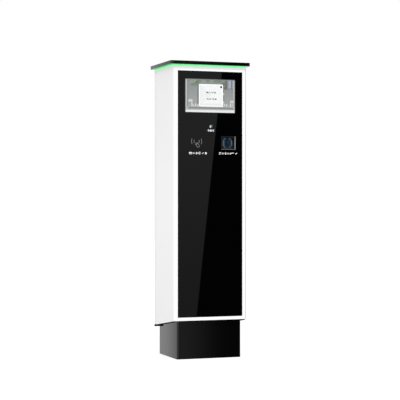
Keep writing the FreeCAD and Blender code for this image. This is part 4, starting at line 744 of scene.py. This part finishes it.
# Each crown is (across, up, radius in mm, lobes, kind); each post (across, up, width, height in mm).
CROWNS = (
    (0.10, 0.93, 9, 5, "leaf_light"), (0.15, 0.97, 12, 6, "leaf_light"), (0.19, 0.86, 10, 5, "leaf"),
    (0.21, 0.75, 7, 7, "leaf_light"), (0.13, 0.84, 6, 4, "leaf"), (0.27, 0.97, 10, 5, "leaf"),
    (0.36, 0.98, 11, 7, "leaf_light"), (0.45, 0.98, 10, 5, "leaf"), (0.53, 0.98, 11, 6, "leaf_light"),
    (0.61, 0.98, 10, 7, "leaf"), (0.69, 0.98, 10, 6, "leaf"), (0.77, 0.88, 7, 5, "leaf_dark"),
    (0.78, 0.76, 6, 4, "leaf_dark"), (0.235, 0.91, 6, 6, "leaf_dark"),
)
POSTS = (
    (0.125, 0.235, 5, 14), (0.155, 0.20, 4, 8), (0.198, 0.22, 4.5, 11), (0.236, 0.21, 4, 8),
    (0.765, 0.315, 5, 9), (0.797, 0.235, 4.5, 10), (0.84, 0.225, 4.5, 10), (0.918, 0.225, 5, 15),
    (0.955, 0.24, 3.5, 8),
)
CARS = ((0.095, 0.345, 18, 11), (0.945, 0.335, 15, 11))
# Tree trunks and columns: colour, layer, then left, foot, right and top.
COLUMNS = (
    ("shade", 2, 0.822, 0.72, 0.852, 0.985),
    ("shade", 2, 0.872, 0.72, 0.878, 0.985),
    ("shade", 2, 0.93, 0.72, 0.958, 0.985),
    ("shade", 1, 0.236, 0.24, 0.262, 0.86),
    ("shade", 1, 0.755, 0.36, 0.785, 0.86),
    ("leaf_dark", 2, 0.80, 0.70, 0.835, 0.985),
    ("shade", 2, 0.032, 0.16, 0.048, 0.99),
    ("bright", 2, 0.982, 0.90, 0.998, 0.985),
)


def graded_glow(name, low_colour, high_colour, low_z, high_z):
    """A lit picture colour that changes evenly with height."""
    lit = Surface(name, scaled(low_colour, 0.15), 0.4)
    height = lit.spread(lit.axes()["Z"], 0.0, 1.0, low_z, high_z)
    lit.glow(lit.mixed(height, low_colour, high_colour), 1.0)
    return lit.material


GRAINY = {
    "glass": ((0.36, 0.385, 0.46), 0.1),
    "shade": ((0.165, 0.17, 0.17), 0.12),
    "leaf": ((0.17, 0.21, 0.15), 0.35),
    "leaf_light": ((0.235, 0.29, 0.225), 0.3),
    "leaf_dark": ((0.14, 0.16, 0.12), 0.3),
    "paving": ((0.38, 0.38, 0.38), 0.08),
    "kerb": ((0.22, 0.22, 0.22), 0.12),
    "bright": ((0.62, 0.62, 0.58), 0.06),
    "warm": ((0.40, 0.27, 0.23), 0.1),
    "edge": ((0.43, 0.43, 0.43), 0.04),
}


def picture_palette():
    """The picture's lit colours by name: each grainy one is a colour and its grain."""
    heights = [screen_point(0, up)[1] for up in (0, 0.08, 0.2, 0.9)]
    haze = graded_glow("picture_haze", (0.335, 0.335, 0.33), (0.222, 0.227, 0.237), *heights[2:])
    bar = graded_glow("picture_bar", (0.80, 0.80, 0.81), (0.62, 0.62, 0.62), *heights[:2])
    palette = {"haze": haze}
    for name, (colour, grain) in GRAINY.items():
        palette[name] = glowing("picture_" + name, colour, 1.0, grain)
    palette["bar"] = bar
    return palette


def floor_lines():
    """Paving, its dark joints in perspective and the pale strip in front of them."""
    drawn = [("paving", 1, patch((0, 0.06), (1, 0.06), (1, 0.2), (0.77, 0.27), (0.23, 0.27), (0, 0.18)))]
    drawn.append(("kerb", 2, patch((0.05, 0.105), (0.98, 0.105), (0.97, 0.15), (0.06, 0.15))))
    for across in (0.08, 0.14, 0.19, 0.81, 0.86, 0.92):
        lean = (across - 0.5) * 0.12
        joint = patch(
            (across, 0.15), (across + 0.008, 0.15), (across + 0.006 - lean, 0.26), (across - lean, 0.26)
        )
        drawn.append(("kerb", 2, joint))
    return drawn


def buildings():
    """Glazing at the right, tree trunks, and the dim columns beside the window."""
    drawn = [("glass", 1, patch((0.865, 0.76), (0.975, 0.75), (0.975, 0.99), (0.865, 0.99)))]
    return drawn + [(kind, layer, block(*corners)) for kind, layer, *corners in COLUMNS]


def street_picture():
    """A generic forecourt: haze, glazing, trees, cars, posts, paving and a status bar."""
    palette = picture_palette()
    slots = {name: number for number, name in enumerate(palette)}
    drawn = [("haze", 0, block(0, 0, 1, 1))] + floor_lines() + buildings()
    for number, (across, up, radius, lobes, kind) in enumerate(CROWNS):
        drawn.append((kind, 3 + number % 2, crown(across, up, radius * MM, lobes, number)))
    for post in POSTS:
        drawn.append(("bright", 5, pill(*post, 1.5)))
    for across, up, width, height in CARS:
        drawn.append(("bright", 5, pill(across, up, width, height, 4)))
        drawn.append(("paving", 6, pill(across, up, width * 0.5, height * 0.3, 1, 1.5)))
    drawn.append(("warm", 5, pill(0.80, 0.565, 7, 5, 1.5)))
    drawn.append(("bright", 5, pill(0.772, 0.575, 5, 6, 1.5)))
    for low, high in ((0.0, 0.032), (0.976, 1.0)):
        drawn.append(("edge", 6, block(low, 0.07, high, 0.99)))
    drawn.append(("bar", 7, patch((0, 0), (1, 0), (1, 0.083), (0, 0.066))))
    plates = [(outline, PICTURE_Y - layer * LAYER, slots[kind]) for kind, layer, outline in drawn]
    made = flat_plates("screen_picture", plates, list(palette.values()), LAYER)
    return made


def message_window():
    """The pale message window with a close dot and two lines of figures."""
    rim = glowing("window_rim", (1.0, 1.0, 1.0), 1.0)
    pale = glowing("window_pale", (0.745, 0.745, 0.74), 1.0)
    dark = glowing("window_dark", (0.01, 0.01, 0.01), 1.0)
    x, z = middle_of("touch_glass")
    x += 3.9 * MM
    z += 2.2 * MM
    y = PICTURE_Y - 9 * LAYER
    width, height = 105 * MM, 91.2 * MM
    border = 3 * MM
    inner = rounded_rectangle(x, z, width - 2 * border, height - 2 * border, 3 * MM)
    plates = [
        (rounded_rectangle(x, z, width, height, 4 * MM), y, 0),
        (inner, y - LAYER, 1),
        (disc(x + 44.2 * MM, z + 35.2 * MM, 4.4 * MM), y - 2 * LAYER, 2),
    ]
    made = flat_plates("message_window", plates, [rim, pale, dark], LAYER)
    pieces = [made]
    lines = (("time_figures", "08:15  09:45", 0.5, 11.4), ("price_figures", "01:30  03.00", 3, -15.1))
    for name, figures, dx, dz in lines:
        plate = figure_plate(name, figures, x + dx * MM, z + dz * MM, 8.6 * MM, y - 3 * LAYER, dark)
        pieces.append(plate)
    return pieces


for piece in [street_picture()] + message_window():
    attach(piece, "cabinet")

# ---- behind the scanner window -------------------------------

LINER_FRONT = -112.1 * MM


def scanner_details():
    """Two light guides beside the lens and a black liner on the right inner wall."""
    low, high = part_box("scanner_window")
    x, z = middle_of("scanner_window")
    back = high.y
    dim = glowing("light_guide_dim", (0.10, 0.13, 0.16), 0.35)
    lit = glowing("light_guide", (0.19, 0.22, 0.25), 0.5)
    black = matte_coat("scanner_liner", (0.004, 0.004, 0.004))
    blocks = []
    for side, width in ((-1, 6.0 * MM), (1, 4.6 * MM)):
        middle = x + side * 17.2 * MM
        left, right = middle - width / 2, middle + width / 2
        blocks.append(((left, back + 3 * MM, z - 12 * MM), (right, back + 6 * MM, z + 12 * MM), 1))
        blocks.append(((left, back + 5 * MM, z - 16 * MM), (right, back + 8 * MM, z + 16 * MM), 0))
    wall = high.x - 1.4 * MM
    liner_low = (wall - 0.3 * MM, back + 0.5 * MM, low.z + 2 * MM)
    blocks.append((liner_low, (wall, LINER_FRONT, high.z - 2 * MM), 2))
    made = boxes("scanner_light_guides", blocks, [dim, lit, black], 0.3 * MM)
    return made


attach(scanner_details(), "cabinet")

# ---- fittings on the equipment inside ------------------------

FRAME_DEPTH = 260 * MM
UNDERSIDE_FRONT = 157.6 * MM
UNDERSIDE_REAR = 120.4 * MM
RAIL_SCREW_HEIGHTS = (345, 560, 775)
HINGE_HEIGHTS = (240, 655, 1070)
FRAME_LEAF_Y = 92 * MM
DOOR_LEAF_Y = 117 * MM
EAR_FACE = -107 * MM
BREAKER_STEP = 4.05 * MM
LABEL = moulded("blank_label", (0.72, 0.72, 0.70), 0.4, 0.005 * MM)
SOCKET_PLASTIC = moulded("socket_plastic", (0.62, 0.58, 0.45), 0.45)
CHIP_PLASTIC = moulded("chip_plastic", (0.014, 0.014, 0.015), 0.35)
RECESS = matte_coat("screw_recess", (0.03, 0.03, 0.03))
GREEN_LED = glowing("green_led", (0.1, 0.9, 0.25), 0.9)
EARTH_GREEN = moulded("earth_green", (0.08, 0.32, 0.06), 0.45)
NEUTRAL_BLUE = moulded("neutral_blue", (0.05, 0.14, 0.42), 0.45)


def round_domes(places, rings, steps):
    """Corners and faces of round domes facing +Y; each ring is (radius, rise)."""
    points = []
    faces = []
    for x, y, z in places:
        first = len(points)
        for reach, rise in rings:
            for k in range(steps):
                turn = 2 * math.pi * k / steps
                points.append((x + reach * math.cos(turn), y + rise, z + reach * math.sin(turn)))
        for ring in range(len(rings) - 1):
            for k in range(steps):
                here = first + ring * steps
                after = here + (k + 1) % steps
                faces.append(([here + k, after, after + steps, here + k + steps], 0))
        top = first + (len(rings) - 1) * steps
        faces.append((list(range(top, top + steps)), 0))
    return points, faces


def screw_heads(name, places, radius_mm, height_mm, towards="y"):
    """Domed screw heads with a cross recess, facing +Y or +X."""
    radius, height = radius_mm * MM, height_mm * MM
    rings = ((radius, 0), (radius, 0.45 * height), (0.72 * radius, height))
    points, faces = round_domes([(0, 0, 0)], rings, 16)
    for half_width, half_tall in ((0.5 * radius, 0.1 * radius), (0.1 * radius, 0.5 * radius)):
        start = len(points)
        for across, up in ((-1, -1), (1, -1), (1, 1), (-1, 1)):
            points.append((across * half_width, height + 0.03 * MM, up * half_tall))
        faces.append(([start, start + 1, start + 2, start + 3], 1))
    corners = []
    every_face = []
    for x, y, z in places:
        first = len(corners)
        for across, rise, up in points:
            shift = (across, rise) if towards == "y" else (rise, across)
            corners.append((x + shift[0], y + shift[1], z + up))
        every_face += [([first + k for k in face], slot) for face, slot in faces]
    return mesh_object(name, corners, every_face, [FASTENER, RECESS])


def cans(name, places, radius_mm, height_mm, material):
    """Small upright capacitors or lamp domes facing +Y, each with a rounded rim."""
    radius, height = radius_mm * MM, height_mm * MM
    rings = ((radius, 0), (radius, 0.85 * height), (0.82 * radius, height))
    points, faces = round_domes(places, rings, 20)
    return mesh_object(name, points, faces, [material])


def block_on(x, y, z, width, height, depth, slot):
    """A block of a size in mm standing on a face at depth y, as corners for boxes()."""
    across, up = width * MM / 2, height * MM / 2
    return (x - across, y, z - up), (x + across, y + depth * MM, z + up), slot


def places_about(x, y, z, offsets):
    """Places set off from a middle by (across, up) in mm."""
    return [(x + across * MM, y, z + up * MM) for across, up in offsets]


def board_parts(name, node, face, seed, columns, rows):
    """Small chips, resistors and sockets in rows over a board's rear face."""
    low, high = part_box(node)
    draw = random.Random(seed)
    blocks = []
    for column in range(columns):
        for row in range(rows):
            x = low.x + (column + 0.5) * (high.x - low.x) / columns + draw.uniform(-2, 2) * MM
            z = low.z + (row + 0.5) * (high.z - low.z) / rows + draw.uniform(-1.5, 1.5) * MM
            if draw.random() < 0.35:
                size = draw.choice((5, 7, 9))
                blocks.append(block_on(x, face, z, size, size * 0.8, 1.2, 0))
            else:
                for k in range(3):
                    blocks.append(block_on(x + (k - 1) * 3 * MM, face, z, 1.2, 2.2, 0.7, 1))
    return boxes(name, blocks, [CHIP_PLASTIC, SOCKET_PLASTIC], 0.1 * MM)


def display_board_parts():
    """Chips, capacitors and corner screws on the display's driver board."""
    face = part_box("display_board")[1].y - 8 * MM
    x, z = middle_of("display_board")
    parts = board_parts("display_board_parts", "display_board", face, 4, 9, 6)
    places = places_about(x, face, z, ((-50, 8), (-50, -6), (28, -14), (-8, 30)))
    cylinders = cans("display_board_cans", places, 4, 9, BARE_ALUMINIUM)
    corners = places_about(x, face, z, ((-60, -35), (-60, 35), (60, -35), (60, 35)))
    return [parts, cylinders, screw_heads("display_board_screws", corners, 2.8, 1.6)]


def controller_parts():
    """Blank label, lamps, end-plate screws and plug hoods on the controller."""
    low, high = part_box("controller")
    x, _ = middle_of("controller")
    body_low = low.z + 10 * MM
    fins = high.y
    face = fins - 14 * MM
    label = [block_on(x, fins, high.z - 45 * MM, 62, 34, 0.4, 0)]
    label.append(block_on(x, fins + 0.4 * MM, high.z - 31 * MM, 56, 2, 0.1, 1))
    plate = boxes("controller_label", label, [LABEL, EARTH_GREEN], 0.1 * MM)
    lamps = [(x + k * 7 * MM, face, body_low + 3 * MM) for k in range(-2, 3)]
    lit = cans("controller_lamps", lamps, 1.3, 1.4, GREEN_LED)
    edges = (low.x + 2.8 * MM, high.x - 2.8 * MM)
    corners = [(side, face, z) for side in edges for z in (body_low + 3 * MM, high.z - 3 * MM)]
    screws = screw_heads("controller_screws", corners, 2.0, 1.2)
    hoods = []
    for k in range(4):
        middle = low.x + (16 + 24 * k) * MM
        hoods.append(block_on(middle, face - 27 * MM, low.z - 4.6 * MM, 14, 8.8, 10, 0))
        for side in (-1, 1):
            nub = middle + side * 7.4 * MM
            hoods.append(block_on(nub, face - 24 * MM, low.z - 4.5 * MM, 1.6, 7, 4, 1))
    plugs = boxes("controller_plugs", hoods, [CHIP_PLASTIC, FASTENER], 0.5 * MM)
    return [plate, lit, screws, plugs]


def supply_parts():
    """Terminal screws, their barriers, a lamp and a blank label on the power supply."""
    low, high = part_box("power_supply")
    x, _ = middle_of("power_supply")
    strip = low.y + 22 * MM
    screw_z = low.z + 7 * MM
    step = 9.2 * MM
    places = [(x + k * step, strip, screw_z) for k in range(-4, 5)]
    screws = screw_heads("supply_screws", places, 3.2, 1.5)
    blocks = [block_on(x + (k + 0.5) * step, strip, screw_z, 1.2, 13, 4, 0) for k in range(-5, 5)]
    barriers = boxes("supply_barriers", blocks, [CHIP_PLASTIC], 0.2 * MM)
    label_z = low.z + 33 * MM
    plate = block_on(x, high.y, label_z, 74, 20, 0.3, 0)
    label = boxes("supply_label", [plate], [LABEL], 0.1 * MM)
    lamp = cans("supply_lamp", [(high.x - 8 * MM, high.y, label_z)], 1.6, 1.5, GREEN_LED)
    return [screws, barriers, label, lamp]


def rail_parts():
    """Screws, markers and end stops of the terminal row, and the breaker's screws and label."""
    low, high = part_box("terminal_blocks")
    _, z = middle_of("terminal_blocks")
    pitch = 6.5 * MM
    foot = high.y - 10 * MM
    middles = [low.x + (k + 0.48) * pitch for k in range(9)]
    places = [(x, foot, z + side * 16 * MM) for x in middles for side in (-1, 1)]
    screws = screw_heads("terminal_screws", places, 2.2, 0.9)
    blocks = []
    for number, x in enumerate(middles):
        slot = 1 if number == 7 else 2 if number == 8 else 0
        blocks.append(block_on(x, high.y, z, 5.0, 9, 0.8, slot))
    for side in (low.x - 5.5 * MM, high.x + 5.5 * MM):
        blocks.append(block_on(side, low.y + 0.3 * MM, z, 9, 42, 20, 3))
    markers = boxes("terminal_markers", blocks, [LABEL, NEUTRAL_BLUE, EARTH_GREEN, GREY_PLASTIC], 0.4 * MM)
    x, z = middle_of("circuit_breaker")
    low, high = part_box("circuit_breaker")
    places = places_about(x, BREAKER_STEP, z, ((-9, -35), (-9, 35), (9, -35), (9, 35)))
    breaker_screws = screw_heads("breaker_screws", places, 3.4, 0.8)
    blocks = [block_on(x, high.y, z - 18.5 * MM, 28, 5, 0.3, 0)]
    blocks.append(block_on(x + 13.5 * MM, high.y, z + 3 * MM, 4, 8, 0.3, 1))
    label = boxes("breaker_label", blocks, [LABEL, EARTH_GREEN], 0.1 * MM)
    return [screws, markers, breaker_screws, label]


def plate_screws():
    """Screws that hold the equipment plate on its rails, and the scanner's ears."""
    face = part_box("equipment_plate")[0].y + 2.0 * MM
    places = [(side * 119 * MM, face, z * MM) for side in (-1, 1) for z in RAIL_SCREW_HEIGHTS]
    plate = screw_heads("plate_screws", places, 3.6, 2.2)
    low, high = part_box("scanner_body")
    z = middle_of("scanner_body")[1]
    places = [(x, EAR_FACE, z) for x in (low.x + 5 * MM, high.x - 5 * MM)]
    return [plate, screw_heads("scanner_ear_screws", places, 2.6, 1.6)]


def hinge_screws(name, y):
    """Two screws in each of the three hinge leaves on the right wall."""
    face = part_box("casing_shell")[1].x + 2.0 * MM
    places = [(face, y, (z + dz) * MM) for z in HINGE_HEIGHTS for dz in (-20, 20)]
    return screw_heads(name, places, 2.6, 0.7, "x")


def overhang_shade_strips():
    """Black strips hung under the body's overhang behind and to the right of the plinth, thicker towards
    the rear: painted shade under the overhang.
    """
    body_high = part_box("floor_plate")[1]
    plinth_low, plinth_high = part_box("plinth_shell")
    front, rear = -FRAME_DEPTH / 2, body_high.y - 0.6 * MM
    side = body_high.x - 0.6 * MM
    strips = ((-side, side, plinth_high.y, rear), (plinth_high.x, side, plinth_low.y, plinth_high.y))
    points = []
    faces = []
    for x0, x1, y0, y1 in strips:
        first = len(points)
        for depth in (1, 0):
            for x, y in ((x0, y0), (x1, y0), (x1, y1), (x0, y1)):
                along = (y - front) / FRAME_DEPTH
                top = UNDERSIDE_FRONT + along * (UNDERSIDE_REAR - UNDERSIDE_FRONT)
                points.append((x, y, top - depth * (2.7 + 3.8 * along) * MM))
        faces += [(face, 0) for face in box_faces(first)]
    return mesh_object("overhang_shade_strips", points, faces, [UNDERSIDE_BLACK])


# The black strips under the overhang are painted shade; the rest are fittings.
cabinet_parts = [overhang_shade_strips()] + display_board_parts() + controller_parts() + supply_parts() + rail_parts()
cabinet_parts += plate_screws() + [hinge_screws("hinge_frame_screws", FRAME_LEAF_Y)]
for piece in cabinet_parts:
    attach(piece, "cabinet")
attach(hinge_screws("hinge_door_screws", DOOR_LEAF_Y), "rear_door")

# ---- stage and light -----------------------------------------

FLOOR_HALF = 15.0
# Each light is (name, place, the point it is aimed at, size, power in watts).
LIGHTS = (
    ("front_light", (0.9, -4.2, 1.4), (0, 0, 0.65), 1.6, 10),
    ("high_light", (0.3, -4.5, 8.5), (0, 0, 0.65), 1.2, 420),
    ("side_light", (-0.86, 0, 0.70), (0, 0, 0.70), 0.3, 0.46),
)


def stage_surface(name, colour=(0.0, 0.0, 0.0)):
    """A plain, shineless surface for the stage, black unless a colour is given."""
    surface = Surface(name, colour, 0.9)
    surface.put("Specular IOR Level", 0.0)
    return surface


def fading_glow(name, axis, start, end, glow_start, glow_end):
    """A black card whose glow changes smoothly between two places along an axis."""
    card = stage_surface(name)
    strength = card.spread(card.axes()[axis], glow_start, glow_end, start, end, "SMOOTHSTEP")
    card.glow((1.0, 1.0, 1.0), strength)
    return card.material


def stage_sheet(name, points, material):
    """One flat sheet of the stage."""
    sheet = mesh_object(name, points, [(list(range(len(points))), 0)], [material])
    return sheet


def make_floor():
    """The white floor, lit enough to run into the white surroundings."""
    h = FLOOR_HALF
    corners = [(-h, -h, 0), (h, -h, 0), (h, h, 0), (-h, h, 0)]
    white = stage_surface("floor_white", (0.2, 0.2, 0.2))
    white.glow((1.0, 1.0, 1.0), 0.85)
    stage_sheet("floor", corners, white.material).visible_glossy = False


def reflection_card(name, points, material):
    """A stage sheet that only mirror-like reflections can see."""
    sheet = stage_sheet(name, points, material)
    sheet.visible_camera = False
    sheet.visible_diffuse = False
    sheet.visible_transmission = False
    sheet.visible_shadow = False


def upright(x0, x1, z0, z1, y, lean=0.0):
    """Corners of an upright sheet; the top of its right edge may lean out."""
    return [(x0, y, z0), (x1, y, z0), (x1 + lean, y, z1), (x0, y, z1)]


def make_cards():
    """Dark and grey sheets in front, below and behind, for the reflections in the black parts."""
    black = stage_surface("flag_black").material
    front = upright(FLAG_LEFT, FLAG_RIGHT, FLAG_BOTTOM, FLAG_TOP, FLAG_Y)
    reflection_card("front_flag", front, black)
    lean = PANEL_EDGE_HIGH - PANEL_EDGE_LOW
    panel = upright(FLAG_LEFT, PANEL_EDGE_LOW, 0, PANEL_TOP, FLAG_Y + 0.01, lean)
    grey = fading_glow("panel_fade", "Z", 0.03, 1.09, 0.245, 0.37)
    reflection_card("slanted_panel", panel, grey)
    fade = fading_glow("low_fade", "X", 0.47, 0.75, 0.27, 0.015)
    low = upright(FLAG_LEFT, FLAG_RIGHT, FLAG_BOTTOM, 0, FLAG_Y + 0.01)
    reflection_card("low_panel", low, fade)
    under = [(x, y, FLAG_BOTTOM) for x, y in ((0.3, -1.6), (2.2, -1.6), (2.2, 1.0), (0.3, 1.0))]
    reflection_card("under_flag", under, black)
    rear = fading_glow("rear_fade", "X", -0.545, -0.44, 0.45, 1.08)
    back = upright(-0.75, -0.36, FLAG_BOTTOM, FLAG_TOP, 1.0)
    reflection_card("rear_panel", back, rear)


def area_light(name, place, target, size, power):
    """A soft square light aimed at a point."""
    data = bpy.data.lights.new(name, "AREA")
    data.energy = power
    data.size = size
    light = bpy.data.objects.new(name, data)
    light.location = place
    light.rotation_euler = (Vector(target) - Vector(place)).to_track_quat("-Z", "Y").to_euler()
    light.visible_glossy = False
    light.visible_camera = False
    bpy.context.scene.collection.objects.link(light)


def make_light():
    """White surroundings and three soft lights: weak in front, strong from high up, weak at the side."""
    scene = bpy.context.scene
    scene.view_settings.view_transform = "Standard"
    world = bpy.data.worlds.new("world")
    world.use_nodes = True
    background = world.node_tree.nodes["Background"].inputs
    background["Color"].default_value = (1.0, 1.0, 1.0, 1.0)
    background["Strength"].default_value = 1.0
    scene.world = world
    for light in LIGHTS:
        area_light(*light)


make_floor()
make_cards()
make_light()
